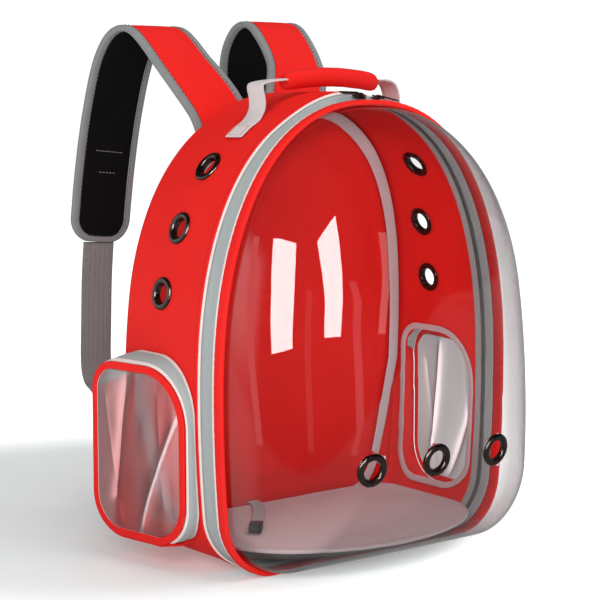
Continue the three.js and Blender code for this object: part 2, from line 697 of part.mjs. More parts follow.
// Grey binding inside the bag round the window that opens into a pocket.
function addWindowBinding(sideName, side) {
  const seat = -CLOTH - GAP;
  const ring = (inset, off) => pocketOutline(POCKET_BASE, inset).map((point) => {
    const x = wallAt(point.y, off).x;
    return new THREE.Vector3(side * x, point.x, point.y);
  });
  const [inner, outer] = [WINDOW_INSET, WINDOW_INSET - WINDOW_BINDING_WIDTH];
  const [near, far] = [seat, seat - SEAM_TAPE_THICKNESS];
  const band = [ring(outer, near), ring(inner, near), ring(inner, far), ring(outer, far)];
  addPiece(`window_binding_${sideName}`, skin(band, { loop: true }), GREY_TAPE);
}

// Mat outline at a level: square at the back, a rounded front that reaches into the dome.
function matRing({ z, halfWidth, back, front }) {
  const quarter = Math.PI / 2;
  const path = new THREE.Path();
  path.moveTo(halfWidth, MAT_SHOULDER);
  path.absarc(halfWidth - MAT_CORNER, back - MAT_CORNER, MAT_CORNER, 0, quarter);
  path.absarc(-halfWidth + MAT_CORNER, back - MAT_CORNER, MAT_CORNER, quarter, 2 * quarter);
  path.lineTo(-halfWidth, MAT_SHOULDER);
  path.absellipse(0, MAT_SHOULDER, halfWidth, MAT_SHOULDER - front, 2 * quarter, 4 * quarter);
  const outline = path.getSpacedPoints(MAT_STEPS).slice(0, MAT_STEPS);
  return outline.map((point) => new THREE.Vector3(point.x, point.y, z));
}

// A band along a route, with its width across and its thickness along the route's normal.
function strapAlong(route, steps, { width, thickness, section }, across) {
  const curve = new THREE.CatmullRomCurve3(route);
  return skin(Array.from({ length: steps + 1 }, (_, i) => {
    const place = curve.getPointAt(i / steps);
    const along = curve.getTangentAt(i / steps);
    const side = across.clone().addScaledVector(along, -across.dot(along)).normalize();
    const up = along.clone().cross(side);
    return section.map(([s, u]) => {
      const moved = place.clone().addScaledVector(side, (s * width) / 2);
      return moved.addScaledVector(up, (u * thickness) / 2);
    });
  }));
}

function addFloor() {
  addPiece('floor_mat', skin(MAT_LEVELS.map(matRing)), MAT_CLOTH);
  const height = MAT_TOP + GAP + TETHER.thickness / 2;
  const route = TETHER_ROUTE.map(({ x, y }) => new THREE.Vector3(x, y, height));
  const [before, end] = route.slice(-2);
  const lastRun = end.clone().sub(before).normalize();
  const sideways = lastRun.clone().cross(new THREE.Vector3(0, 0, 1));
  addPiece('tether_strap', strapAlong(route, TETHER_STEPS, TETHER, sideways), GREY_TAPE);
  const clip = new THREE.Shape();
  const { length, shoulder, height: depth, arcSteps: curveSegments } = CLIP;
  const [half, neck] = [CLIP.width / 2, CLIP.neckWidth / 2];
  clip.moveTo(0, -neck);
  clip.lineTo(shoulder, -half);
  clip.quadraticCurveTo(length, -half, length, 0);
  clip.quadraticCurveTo(length, half, shoulder, half);
  clip.lineTo(0, neck);
  const body = new THREE.ExtrudeGeometry(clip, { depth, bevelEnabled: false, curveSegments });
  const mesh = addPiece('tether_clip', body, BLACK_PLASTIC);
  mesh.position.copy(end).addScaledVector(lastRun, GAP).setZ(MAT_TOP + GAP);
  mesh.rotation.z = Math.atan2(lastRun.y, lastRun.x);
}

// Top handle: a padded grip on webbing that turns down to a sewn patch at each end.
function addHandle() {
  const { middle, halfLength, height, bow, radiusAcross, radiusUp, steps, sides } = GRIP;
  const rings = Array.from({ length: steps + 1 }, (_, i) => {
    const t = (2 * i) / steps - 1;
    const lift = bow * (1 - t * t);
    return Array.from({ length: sides }, (__, k) => {
      const angle = (k / sides) * 2 * Math.PI;
      const y = HANDLE_DEPTH + radiusAcross * Math.cos(angle);
      return new THREE.Vector3(middle + t * halfLength, y, height + lift + radiusUp * Math.sin(angle));
    });
  });
  addPiece('handle_grip', skin(rings), RED_CLOTH);
  for (const [sideName, side] of [['left', -1], ['right', 1]]) {
    addPiece(`handle_webbing_${sideName}`, handleWebbing(HANDLE_ROUTES[sideName], side), GREY_TAPE);
  }
}

function handleWebbing(route, side) {
  const over = HANDLE_SEAT + WEBBING.thickness / 2;
  const patch = route.patch.map((x) => new THREE.Vector3(side * x, HANDLE_DEPTH, wallTop(x, over)));
  const rise = route.rise.map(({ x, z }) => new THREE.Vector3(side * x, HANDLE_DEPTH, z));
  return strapAlong([...patch, ...rise], HANDLE_STEPS, WEBBING, new THREE.Vector3(0, 1, 0));
}

// Shoulder straps: padded bands that rise from the back, with webbing back to the lower corners.
function addStraps() {
  const across = new THREE.Vector3(1, 0, 0);
  for (const [sideName, side] of [['left', -1], ['right', 1]]) {
    const place = ({ x, y, z }) => new THREE.Vector3(side * x, y, z);
    const strap = strapAlong(STRAP_ROUTES[sideName].map(place), STRAP_STEPS, STRAP, across);
    addPiece(`strap_${sideName}`, strap, RED_CLOTH);
    const route = STRAP_WEBBING_ROUTE.map(place);
    const webbing = strapAlong(route, STRAP_WEBBING_STEPS, STRAP_WEBBING, across);
    addPiece(`strap_webbing_${sideName}`, webbing, GREY_TAPE);
  }
}

addGusset();
addBackPanel();
addZip();
addRimBinding();
addDome();
addSideEyelets();
for (const [sideName, side] of [['left', -1], ['right', 1]]) {
  addPocket(sideName, side);
  addWindowBinding(sideName, side);
}
addFloor();
addHandle();
addStraps();

// The origin is under the middle of the whole form.
const bounds = new THREE.Box3().setFromObject(backpack);
const middle = bounds.getCenter(new THREE.Vector3());
backpack.position.set(-middle.x, -middle.y, -bounds.min.z);

const object = new THREE.Group();
object.add(backpack);

export default object;
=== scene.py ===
import math

import bmesh
import bpy
import numpy as np
from mathutils import Matrix, Vector, noise


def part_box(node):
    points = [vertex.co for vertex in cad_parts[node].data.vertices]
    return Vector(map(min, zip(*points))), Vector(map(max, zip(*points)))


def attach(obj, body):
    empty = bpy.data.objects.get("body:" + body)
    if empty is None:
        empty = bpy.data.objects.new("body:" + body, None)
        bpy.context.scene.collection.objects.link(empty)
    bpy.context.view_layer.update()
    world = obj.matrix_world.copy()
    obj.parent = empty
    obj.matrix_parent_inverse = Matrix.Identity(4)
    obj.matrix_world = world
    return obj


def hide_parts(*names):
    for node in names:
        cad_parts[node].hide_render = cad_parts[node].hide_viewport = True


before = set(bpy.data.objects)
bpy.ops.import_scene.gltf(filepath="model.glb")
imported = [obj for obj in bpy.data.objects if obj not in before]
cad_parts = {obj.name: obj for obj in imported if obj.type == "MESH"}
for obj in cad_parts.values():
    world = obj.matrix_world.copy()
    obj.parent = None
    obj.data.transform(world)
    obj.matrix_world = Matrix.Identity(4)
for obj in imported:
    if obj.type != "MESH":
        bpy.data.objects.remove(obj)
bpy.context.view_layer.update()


# Side wall: one long strip of coated oxford cloth, sewn into a hoop that runs over the top and under the
# base and folds round into the back seam. Its windows and air holes are cut before it is sewn.
BAG_WIDTH = 0.338
BAG_HEIGHT = 0.420
BAG_DEPTH = 0.160
SPRING_HEIGHT = 0.160
ARCH_POWER = 2.3
BASE_CORNER = 0.052
BASE_TAPER = 0.06
CLOTH = 0.0024
ZIP_FRONT = 0.0063
ZIP_BACK = 0.0315
BACK_FOLD = 0.012
CROWN_RISE = 0.009
CROWN_HALF_SPAN = 0.085
WALL_SLACK = 0.0011
SLACK_WAVES = (13, 17, 13)
SLACK_FROM_SEAM = 0.02
WALL_PUCKER = 0.00025
PUCKER_PITCH = 0.011
PUCKER_REACH = 0.006
RED = (0.74, 0.014, 0.010)
RED_SHADE = (0.64, 0.010, 0.008)
WELD = 1e-5

rim_low, rim_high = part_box("rim_binding")
RIM_Y = (rim_low.y + rim_high.y) / 2


def rim_half_width(z):
    """Half the bag's width at a height: a power arch over straight sides and round base corners."""
    if z > SPRING_HEIGHT:
        rise = min((z - SPRING_HEIGHT) / (BAG_HEIGHT - SPRING_HEIGHT), 1)
        return BAG_WIDTH / 2 * (1 - rise**ARCH_POWER) ** (1 / ARCH_POWER)
    drop = max(BASE_CORNER - z, 0)
    corner = BASE_CORNER - math.sqrt(BASE_CORNER**2 - drop**2)
    return (BAG_WIDTH / 2 - corner) * (1 - BASE_TAPER * (1 - z / SPRING_HEIGHT) ** 2)


def even_steps(points, steps):
    """A polyline resampled to equal steps, with its length."""
    run = np.concatenate([[0], np.cumsum(np.linalg.norm(np.diff(points, axis=0), axis=1))])
    at = np.linspace(0, run[-1], steps + 1)
    return np.column_stack([np.interp(at, run, column) for column in points.T]), run[-1]


def even_loop(points, steps):
    return even_steps(np.vstack([points, points[:1]]), steps)


def rim_outline():
    """The rim in the front view, from the middle of the base round by the right."""
    turn = np.linspace(0, math.pi / 2, 80)
    corner = BASE_CORNER * (1 - np.cos(turn))
    side = np.linspace(BASE_CORNER, SPRING_HEIGHT, 20)[1:-1]
    arch = SPRING_HEIGHT + (BAG_HEIGHT - SPRING_HEIGHT) * np.sin(turn) ** (2 / ARCH_POWER)
    right = np.array([(rim_half_width(z), z) for z in np.concatenate([corner, side, arch])])
    left = right[-2::-1] * (-1, 1)
    return even_loop(np.vstack([[(0, 0)], right, left]), 2400)


RIM, RIM_LENGTH = rim_outline()
RIM_RUN = np.gradient(RIM, axis=0)
RIM_RUN[0] = RIM_RUN[-1] = (1, 0)
RIM_RUN /= np.linalg.norm(RIM_RUN, axis=1)[:, None]
RIM_NORMAL = np.column_stack([RIM_RUN[:, 1], -RIM_RUN[:, 0]])
RIM_ROWS = np.column_stack([RIM, RIM_NORMAL]).tolist()


def mid(start, end, share):
    """A row a share of the way from one row to another."""
    return [a + (b - a) * share for a, b in zip(start, end)]


def between(rows, share):
    """The row of a table a share of the way down it."""
    at = min(max(share, 0), 1) * (len(rows) - 1)
    k = min(int(at), len(rows) - 2)
    return mid(rows[k], rows[k + 1], at - k)


def rim_at(share, out=0.0):
    """The rim a share of the way round from the middle of the base, moved out, and its normal."""
    x, z, nx, nz = between(RIM_ROWS, share)
    return x + nx * out, max(z + nz * out, 0), nx, nz


def seat(x, depth, z):
    """A point of the bag, with its depth counted back from the rim."""
    return Vector((x, RIM_Y + depth, z))


def on_body(x, depth, z):
    """A point of the cloth body. The handle draws its top up, behind the rim and about the middle."""
    if z < SPRING_HEIGHT or abs(x) > CROWN_HALF_SPAN:
        return seat(x, depth, z)
    back = min(max((depth - ZIP_FRONT) / (ZIP_BACK - ZIP_FRONT), 0), 1)
    return seat(x, depth, z + CROWN_RISE * back * math.cos(math.pi / 2 * x / CROWN_HALF_SPAN) ** 2)


def in_scene(name, bm, *materials):
    """A finished mesh as an object of the scene, smooth shaded."""
    mesh = bpy.data.meshes.new(name)
    bm.to_mesh(mesh)
    bm.free()
    mesh.shade_smooth()
    for material in materials:
        mesh.materials.append(material)
    thing = bpy.data.objects.new(name, mesh)
    bpy.context.scene.collection.objects.link(thing)
    return thing


def shown(name, bm, *materials):
    """A finished piece, which rides on the bag."""
    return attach(in_scene(name, bm, *materials), "root")


def bent_sheet(place, columns, rows, span, cut=None):
    """A grid bent to shape: place(u, v) seats each point, span is its flat size, on which the weave lies,
    and faces whose middle the test cut picks are removed."""
    bm = bmesh.new()
    bmesh.ops.create_grid(bm, x_segments=columns, y_segments=rows, size=0.5)
    weave = bm.loops.layers.uv.new("weave")
    for face in bm.faces:
        for loop in face.loops:
            loop[weave].uv = ((loop.vert.co.x + 0.5) * span[0], (loop.vert.co.y + 0.5) * span[1])
    for vert in bm.verts:
        vert.co = place(vert.co.x + 0.5, vert.co.y + 0.5)
    bmesh.ops.remove_doubles(bm, verts=bm.verts, dist=WELD)
    if cut:
        gone = [face for face in bm.faces if cut(face.calc_center_median())]
        bmesh.ops.delete(bm, geom=gone, context="FACES")
    bmesh.ops.recalc_face_normals(bm, faces=bm.faces)
    return bm


def thicken(piece, thickness, offset=-1.0):
    wall = piece.modifiers.new("wall", "SOLIDIFY")
    wall.thickness = thickness
    wall.offset = offset
    wall.use_even_offset = True


def coated(name, sockets):
    """A new material with its shader's sockets set. Returns the material, its nodes and the shader."""
    material = bpy.data.materials.new(name)
    material.use_nodes = True
    shader = material.node_tree.nodes["Principled BSDF"]
    for socket, value in sockets.items():
        shader.inputs[socket].default_value = value
    return material, material.node_tree, shader


def node(tree, kind, inputs=None, **settings):
    """A new node. Each of its inputs gets a value, or a link from another node's output."""
    made = tree.nodes.new("ShaderNode" + kind)
    for name, value in settings.items():
        setattr(made, name, value)
    for key, value in (inputs or {}).items():
        if isinstance(value, bpy.types.NodeSocket):
            tree.links.new(value, made.inputs[key])
        else:
            made.inputs[key].default_value = value
    return made


def maths(tree, operation, *values):
    return node(tree, "Math", dict(enumerate(values)), operation=operation).outputs[0]


def two_colours(tree, share, low, high):
    """A colour that goes from low to high with a share."""
    colours = {0: share, 6: (*low, 1), 7: (*high, 1)}
    return node(tree, "Mix", colours, data_type="RGBA").outputs[2]


def drift(tree, scale, detail):
    """A cloudy pattern that stays on its piece."""
    place = node(tree, "TexCoord").outputs["Object"]
    return node(tree, "TexNoise", {"Vector": place, "Scale": scale, "Detail": detail}).outputs["Fac"]


WAVE_PERIOD = math.tau / 20


def cloth(name, colour, shade, thread=0.0009, relief=0.25, roughness=0.7, sheen=0.1):
    """Woven cloth: crossed threads as relief, and a slow drift between a colour and its shade."""
    material, tree, shader = coated(name, {
        "Roughness": roughness, "Sheen Weight": sheen, "Sheen Roughness": 0.4,
        "Sheen Tint": (*colour, 1), "Specular IOR Level": 0.2,
    })
    flat = node(tree, "UVMap", uv_map="weave").outputs["UV"]
    threads = {"Vector": flat, "Scale": WAVE_PERIOD / thread}
    warp, weft = (node(tree, "TexWave", threads, bands_direction=way).outputs["Fac"] for way in "XY")
    crossing = maths(tree, "MULTIPLY", warp, weft)
    bump = node(tree, "Bump", {"Height": crossing, "Strength": relief, "Distance": thread / 3})
    tree.links.new(bump.outputs["Normal"], shader.inputs["Normal"])
    dye = two_colours(tree, drift(tree, scale=16, detail=4), shade, colour)
    tree.links.new(dye, shader.inputs["Base Color"])
    return material


red_cloth = cloth("red_oxford_cloth", RED, RED_SHADE)

SIDES = {"left": -1, "right": 1}
POCKET_BASE = dict(front=0.0345, back=0.144, bottom=0.027, top=0.193,
                   front_top=0.054, back_top=0.026, back_bottom=0.034, front_bottom=0.034)
WINDOW_INSET = 0.006
LEAST_CORNER = 0.003
SIDE_EYELETS = {
    # depth and height
    ("left", "top"): (0.085, 0.361),
    ("left", "middle"): (0.089, 0.306),
    ("left", "low"): (0.096, 0.247),
    ("right", "top"): (0.069, 0.361),
    ("right", "middle"): (0.093, 0.301),
    ("right", "low"): (0.097, 0.243),
}
AIR_HOLE = 0.0122


def pocket_outline(edges, inset=0.0):
    """Rounded outline of a pocket in depth and height, from the top of its back edge round by the front."""
    front, back = edges["front"] + inset, edges["back"] - inset
    bottom, top = edges["bottom"] + inset, edges["top"] - inset
    corners = [
        # name, corner of the box, which way is inward and upward from it
        ("back_top", back, top, -1, -1),
        ("front_top", front, top, 1, -1),
        ("front_bottom", front, bottom, 1, 1),
        ("back_bottom", back, bottom, -1, 1),
    ]
    points = []
    for quarter, (corner, y, z, inward, upward) in enumerate(corners):
        radius = max(edges[corner] - inset, LEAST_CORNER)
        for angle in np.linspace(0, math.pi / 2, 24) + quarter * math.pi / 2:
            points.append((y + inward * radius + radius * math.cos(angle),
                           z + upward * radius + radius * math.sin(angle)))
    return even_loop(np.array(points), 720)


def inside(loop, y, z):
    """True if a point of the side view lies inside a closed outline."""
    y0, z0, y1, z1 = loop[:-1, 0], loop[:-1, 1], loop[1:, 0], loop[1:, 1]
    crossed = (z0 > z) != (z1 > z)
    at = y0[crossed] + (z - z0[crossed]) / (z1 - z0)[crossed] * (y1 - y0)[crossed]
    return np.count_nonzero(at > y) % 2 == 1


def wall_slope(z):
    """Outward normal of the right-hand wall at a height."""
    step = 0.002
    run = Vector((rim_half_width(z + step) - rim_half_width(z - step), 0, 2 * step))
    return Vector((run.z, 0, -run.x)).normalized()


def side_eyelet_axis(side_name, depth, z):
    side, normal = SIDES[side_name], wall_slope(z)
    return seat(side * rim_half_width(z), depth, z), Vector((side * normal.x, 0, normal.z))


def off_axis(point, axis):
    place, normal = axis
    return (point - place - normal * (point - place).dot(normal)).length


WALL_RUN = BAG_DEPTH - BACK_FOLD - ZIP_BACK
WALL_SPAN = WALL_RUN + BACK_FOLD * math.pi / 2
SIDE_AXES = {key: side_eyelet_axis(key[0], *place) for key, place in SIDE_EYELETS.items()}
WINDOW = pocket_outline(POCKET_BASE, WINDOW_INSET)[0][::8]


def side_wall_point(u, v):
    run = v * WALL_SPAN
    turn = max(run - WALL_RUN, 0) / BACK_FOLD
    depth = ZIP_BACK + min(run, WALL_RUN) + BACK_FOLD * math.sin(turn)
    x, z, nx, nz = rim_at(u, -BACK_FOLD * (1 - math.cos(turn)))
    wave_x, wave_y, wave_z = SLACK_WAVES
    slack = WALL_SLACK * noise.noise(Vector((x * wave_x, depth * wave_y, z * wave_z)))
    pucker = WALL_PUCKER * math.sin(u * RIM_LENGTH * math.tau / PUCKER_PITCH)
    out = slack * min(run / SLACK_FROM_SEAM, 1) + pucker * math.exp(-run / PUCKER_REACH)
    return on_body(x + nx * out, depth, max(z + nz * out, 0))


def wall_cut(point):
    """True at an air hole and at a pocket's window."""
    near = (off_axis(point, axis) < AIR_HOLE for axis in SIDE_AXES.values() if point.x * axis[0].x > 0)
    return any(near) or inside(WINDOW, point.y - RIM_Y, point.z)


wall_sheet = bent_sheet(side_wall_point, 460, 46, (RIM_LENGTH, WALL_SPAN), wall_cut)
side_wall = shown("side_wall", wall_sheet, red_cloth)
thicken(side_wall, CLOTH)
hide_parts("gusset")


# Back panel: a foam pad in red cloth that closes the hoop behind. It is thickest at the top, where the
# shoulder straps are sewn on, and a tape covers its seam inside the bag.
BACK_THICKNESS = 0.011
LEAN_FROM = 0.130
LEAN = 0.050
PANEL_MIDDLE = 0.210
PANEL_EDGE = 0.0045
PANEL_EDGE_SHARE = 0.08
PANEL_ROUND = 0.005
PANEL_ROUND_POWER = 24
PANEL_FOLD_POWER = 10
PANEL_SPAN = (RIM_LENGTH, 0.42)
PANEL_SEWN = (0.38, 0.62)
PAD_SLACK = 0.003
PAD_SLACK_POWER = 6
PAD_SWELL = 0.9 * PAD_SLACK
PAD_PRESSURE = 4.0
SWELL_FRAMES = 20
COVER_STRETCH = 40
COVER_BENDING = 2
SEAM_DRAW_BELOW = 0.155
SEAM_DRAW_SLOPE = 0.21
TAPE_EDGE = 0.006
TAPE_WIDTH = 0.012
TAPE_THICKNESS = 0.0016
TAPE_GIRTH = 0.027
GAP = 0.0003
MAUVE = (0.56, 0.45, 0.47)
MAUVE_SHADE = (0.46, 0.36, 0.38)


def inner_face(z):
    """Depth of the pad's face inside the bag, which leans in towards the top."""
    share = max(z - LEAN_FROM, 0) / (BAG_HEIGHT - LEAN_FROM)
    return BAG_DEPTH - BACK_THICKNESS - LEAN * share**2


def back_panel_point(u, v):
    """The pad's cover: v runs out over the face inside the bag, round the edge and in over the outside."""
    face = min(2 * v, 2 - 2 * v) * (1 + PANEL_EDGE_SHARE)
    size = min(face, 1)
    wrap = max(face - 1, 0) / PANEL_EDGE_SHARE
    x, z, nx, nz = rim_at(u, -PANEL_EDGE)
    x, z = x * size, PANEL_MIDDLE + (z - PANEL_MIDDLE) * size
    rounding = PANEL_ROUND * size**PANEL_ROUND_POWER
    middle = (inner_face(z) + BAG_DEPTH) / 2
    if v < 0.5:
        depth = inner_face(z) + PAD_SLACK * (1 - size**PAD_SLACK_POWER) + rounding
    else:
        depth = BAG_DEPTH - PAD_SLACK - rounding
        inset = (BACK_FOLD + GAP - PANEL_EDGE) * size**PANEL_FOLD_POWER
        x, z = x - nx * inset, z - nz * inset
    return on_body(x, depth + (middle - depth) * wrap**2, z)


def swell(piece, held, pressure, cap):
    """Blows a padded piece up as cloth filled from inside, except where it is sewn down: held tells that from
    a point's place on the flat cloth. No point moves further than the cap."""
    mesh = piece.data
    flat = mesh.uv_layers["weave"].data
    sewn = {loop.vertex_index for loop in mesh.loops if held(*flat[loop.index].uv)}
    pins = piece.vertex_groups.new(name="sewn")
    pins.add(list(sewn), 1.0, "REPLACE")
    cover = piece.modifiers.new("cover", "CLOTH")
    cover.settings.vertex_group_mass = "sewn"
    cover.settings.use_pressure = True
    cover.settings.uniform_pressure_force = pressure
    cover.settings.effector_weights.gravity = 0
    cover.settings.tension_stiffness = cover.settings.compression_stiffness = COVER_STRETCH
    cover.settings.bending_stiffness = COVER_BENDING
    cover.collision_settings.use_collision = False
    for step in range(1, SWELL_FRAMES + 1):
        bpy.context.scene.frame_set(step)
    swollen = piece.evaluated_get(bpy.context.evaluated_depsgraph_get()).data
    for vert, moved in zip(mesh.vertices, swollen.vertices):
        move = moved.co - vert.co
        if move.length > cap:
            move *= cap / move.length
        vert.co += move
    piece.modifiers.remove(cover)
    piece.vertex_groups.remove(pins)
    bpy.context.scene.frame_set(1)


def panel_held(u, v):
    return PANEL_SEWN[0] < v / PANEL_SPAN[1] < PANEL_SEWN[1]


back_panel = shown("back_pad", bent_sheet(back_panel_point, 160, 72, PANEL_SPAN), red_cloth)
swell(back_panel, panel_held, PAD_PRESSURE, PAD_SWELL)
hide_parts("back_panel")


def rounded(angle, power):
    """A boxy oval: the two coordinates of its edge at an angle."""
    c, s = math.cos(angle), math.sin(angle)
    return math.copysign(abs(c) ** power, c), math.copysign(abs(s) ** power, s)


def seam_tape_point(u, v):
    across, lift = rounded(v * math.tau, power=0.55)
    x, z, _, _ = rim_at(u, -TAPE_EDGE - TAPE_WIDTH / 2 * (1 - across))
    raised = 2 * GAP + TAPE_THICKNESS / 2 * (1 + lift)
    x *= 1 - SEAM_DRAW_SLOPE * max(SEAM_DRAW_BELOW - z, 0) / (BAG_WIDTH / 2)
    return on_body(x, inner_face(z) - raised, z)


mauve_tape = cloth("mauve_seam_tape", MAUVE, MAUVE_SHADE, thread=0.0007, relief=0.3)
tape_sheet = bent_sheet(seam_tape_point, 300, 20, (RIM_LENGTH, TAPE_GIRTH))
seam_tape = shown("back_seam_tape", tape_sheet, mauve_tape)
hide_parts("seam_binding")


# Zip: a grey tape round the whole opening between two pale edge tapes, its coil on the inside, and two
# gunmetal sliders at the top with their pull tabs lying away from each other.
ZIP_RECESS = 0.0021
ZIP_THICKNESS = 0.0018
ZIP_WIDTH = ZIP_BACK - ZIP_FRONT
ZIP_MIDDLE = (ZIP_FRONT + ZIP_BACK) / 2
ZIP_GROOVE = 0.0006
ZIP_GROOVE_REACH = 0.0009
PIPING = 0.003
PIPING_SEAT = -0.0010
PIPING_RISE = 0.0011
COIL_PITCH = 0.0026
COIL_TURNS = int(RIM_LENGTH / COIL_PITCH)
COIL_NOTCH = 0.35
COIL_SEAT = 0.0006
COIL_RISE = 0.0011
COIL_REACH = 0.0032
COIL_WIDTH = 0.006
GREY = (0.36, 0.39, 0.39)
GREY_SHADE = (0.31, 0.34, 0.34)
PALE = (0.76, 0.66, 0.64)
PALE_SHADE = (0.68, 0.58, 0.56)
COIL_GREY = (0.10, 0.105, 0.105)
COIL_SHADE = (0.07, 0.075, 0.075)

grey_tape = cloth("grey_woven_tape", GREY, GREY_SHADE, thread=0.0007, relief=0.3, roughness=0.65)
pale_tape = cloth("pale_edge_tape", PALE, PALE_SHADE, thread=0.0007, relief=0.25, roughness=0.6)
grey_coil = cloth("grey_zip_coil", COIL_GREY, COIL_SHADE, relief=0.1, roughness=0.45)


def rim_band(section, columns, rows, width):
    """A band round the whole rim. Its section gives a distance out and a depth for an angle round it."""
    def place(u, v):
        out, depth = section(v * math.tau, u)
        x, z, _, _ = rim_at(u, out)
        return on_body(x, depth, z)
    return bent_sheet(place, columns, rows, (RIM_LENGTH, 2 * width))


def zip_section(angle, u):
    across, lift = rounded(angle, power=0.45)
    depth = ZIP_MIDDLE + across * ZIP_WIDTH / 2
    groove = ZIP_GROOVE * math.exp(-((depth - ZIP_MIDDLE) / ZIP_GROOVE_REACH) ** 2) if lift > 0 else 0
    return -ZIP_RECESS - ZIP_THICKNESS / 2 * (1 - lift) - groove, depth


zip_tape = shown("zip_tape", rim_band(zip_section, 320, 48, ZIP_WIDTH), grey_tape)
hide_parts("zipper_tape")

for name, start in (("front", ZIP_FRONT), ("rear", ZIP_BACK - PIPING)):
    def piping_section(angle, u):
        across, lift = rounded(angle, power=0.8)
        return PIPING_SEAT + PIPING_RISE * lift, start + PIPING / 2 * (1 + across)

    piping = shown(f"zip_edge_{name}", rim_band(piping_section, 320, 16, PIPING), pale_tape)
    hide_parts(f"zipper_piping_{name}")


def coil_section(angle, u):
    across, lift = rounded(angle, power=1)
    ridge = 1 - COIL_NOTCH * (0.5 - 0.5 * math.cos(u * COIL_TURNS * math.tau))
    out = -ZIP_RECESS - ZIP_THICKNESS - COIL_SEAT + COIL_RISE * lift * ridge
    return out, ZIP_MIDDLE + COIL_REACH * across * ridge


zip_coil = shown("zip_coil", rim_band(coil_section, 4 * COIL_TURNS, 8, COIL_WIDTH), grey_coil)


def remap(tree, value, start, end, low, high):
    """A soft ramp of a value: low up to start, high from end on."""
    ends = {"Value": value, "From Min": start, "From Max": end, "To Min": low, "To Max": high}
    return node(tree, "MapRange", ends, interpolation_type="SMOOTHSTEP").outputs["Result"]


def gunmetal(name):
    """Dark plated steel, a little worn: roughness and shade drift over it."""
    material, tree, shader = coated(name, {"Metallic": 1.0})
    wear = drift(tree, scale=220, detail=5)
    rough = remap(tree, wear, start=0.2, end=0.8, low=0.16, high=0.36)
    tree.links.new(rough, shader.inputs["Roughness"])
    shade = two_colours(tree, wear, (0.075, 0.055, 0.05), (0.16, 0.125, 0.115))
    tree.links.new(shade, shader.inputs["Base Color"])
    return material


dark_metal = gunmetal("gunmetal_plating")


def soft_block(bm, size, centre, edge):
    """A block with rounded edges."""
    made = bmesh.ops.create_cube(bm, size=1)
    bmesh.ops.scale(bm, vec=size, verts=made["verts"])
    bmesh.ops.translate(bm, vec=centre, verts=made["verts"])
    edges = list({e for v in made["verts"] for e in v.link_edges})
    bmesh.ops.bevel(bm, geom=edges, offset=edge, affect="EDGES", segments=3, profile=0.5, material=-1)


# Each slider's place across the top, and the side that its pull tab lies to.
SLIDERS = {"left": (0.003, -1), "right": (0.025, 1)}
SLIDER_SEAT = 0.0008
SLIDER_BLOCKS = [
    # size along, across and up; middle towards the tab, across and up; rounding of the edges
    ((0.0110, 0.0090, 0.0016), (0, 0, 0.0008), 0.0006),
    ((0.0105, 0.0078, 0.0014), (0, 0, 0.0030), 0.0006),
    ((0.0030, 0.0052, 0.0020), (-0.003, 0, 0.0020), 0.0004),
    ((0.0060, 0.0024, 0.0012), (0, 0, 0.0043), 0.0005),
    ((0.0220, 0.0017, 0.0011), (0.012, -0.0021, 0.0046), 0.0004),
    ((0.0220, 0.0017, 0.0011), (0.012, 0.0021, 0.0046), 0.0004),
    ((0.0026, 0.0058, 0.0012), (0.0022, 0, 0.0046), 0.0005),
    ((0.0026, 0.0058, 0.0012), (0.0218, 0, 0.0046), 0.0005),
]


def arch_height(x, out=0.0):
    """Height of the rim's arch at a place across it, with the arch moved out."""
    right = RIM[: len(RIM) // 2 + 1]
    moved = right + RIM_NORMAL[: len(right)] * out
    high = moved[right[:, 1] > SPRING_HEIGHT]
    return float(np.interp(-abs(x), -high[:, 0], high[:, 1]))


def zip_top(x, depth):
    """A point of the zip tape's face at a place across the top."""
    return on_body(x, depth, arch_height(x)) - Vector((0, 0, ZIP_RECESS))


for name, (x, tab_side) in SLIDERS.items():
    bm = bmesh.new()
    for size, (along, across, up), edge in SLIDER_BLOCKS:
        soft_block(bm, size, (tab_side * along, across, up), edge)
    step = 0.0045
    climb = (zip_top(x, ZIP_MIDDLE + step).z - zip_top(x, ZIP_MIDDLE - step).z) / (2 * step)
    slope = (zip_top(x + step, ZIP_MIDDLE).z - zip_top(x - step, ZIP_MIDDLE).z) / (2 * step)
    tilt = Matrix.Rotation(-math.atan(slope), 4, "Y") @ Matrix.Rotation(math.atan(climb), 4, "X")
    place = zip_top(x, ZIP_MIDDLE) + Vector((0, 0, SLIDER_SEAT))
    bmesh.ops.transform(bm, matrix=Matrix.Translation(place) @ tilt, verts=bm.verts)
    slider = shown(f"zip_slider_{name}_body", bm, dark_metal)
    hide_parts(f"zip_slider_{name}")


# Rim binding: red cloth folded over the dome's edge and the zip tape, and sewn through with one row of
# stitches, which pucker it a little. A second row of the same thread sews the zip to the side wall.
BINDING = 0.006
BINDING_SEAT = -0.00105
BINDING_RISE = 0.00245
BINDING_PUCKER = 0.00018
BINDING_PITCH = 0.0074
RIM_ROW = dict(out=0.0011, depth=0.0028)
RIM_STITCH = dict(pitch=0.0037, length=0.0029, thread=0.0006)
WALL_ROW = dict(out=0.0003, depth=ZIP_BACK + 0.0045)
WALL_STITCH = dict(pitch=0.0040, length=0.0031, thread=0.0006)
THREAD_RED = (0.62, 0.016, 0.012)
THREAD_SHADE = (0.5, 0.012, 0.01)


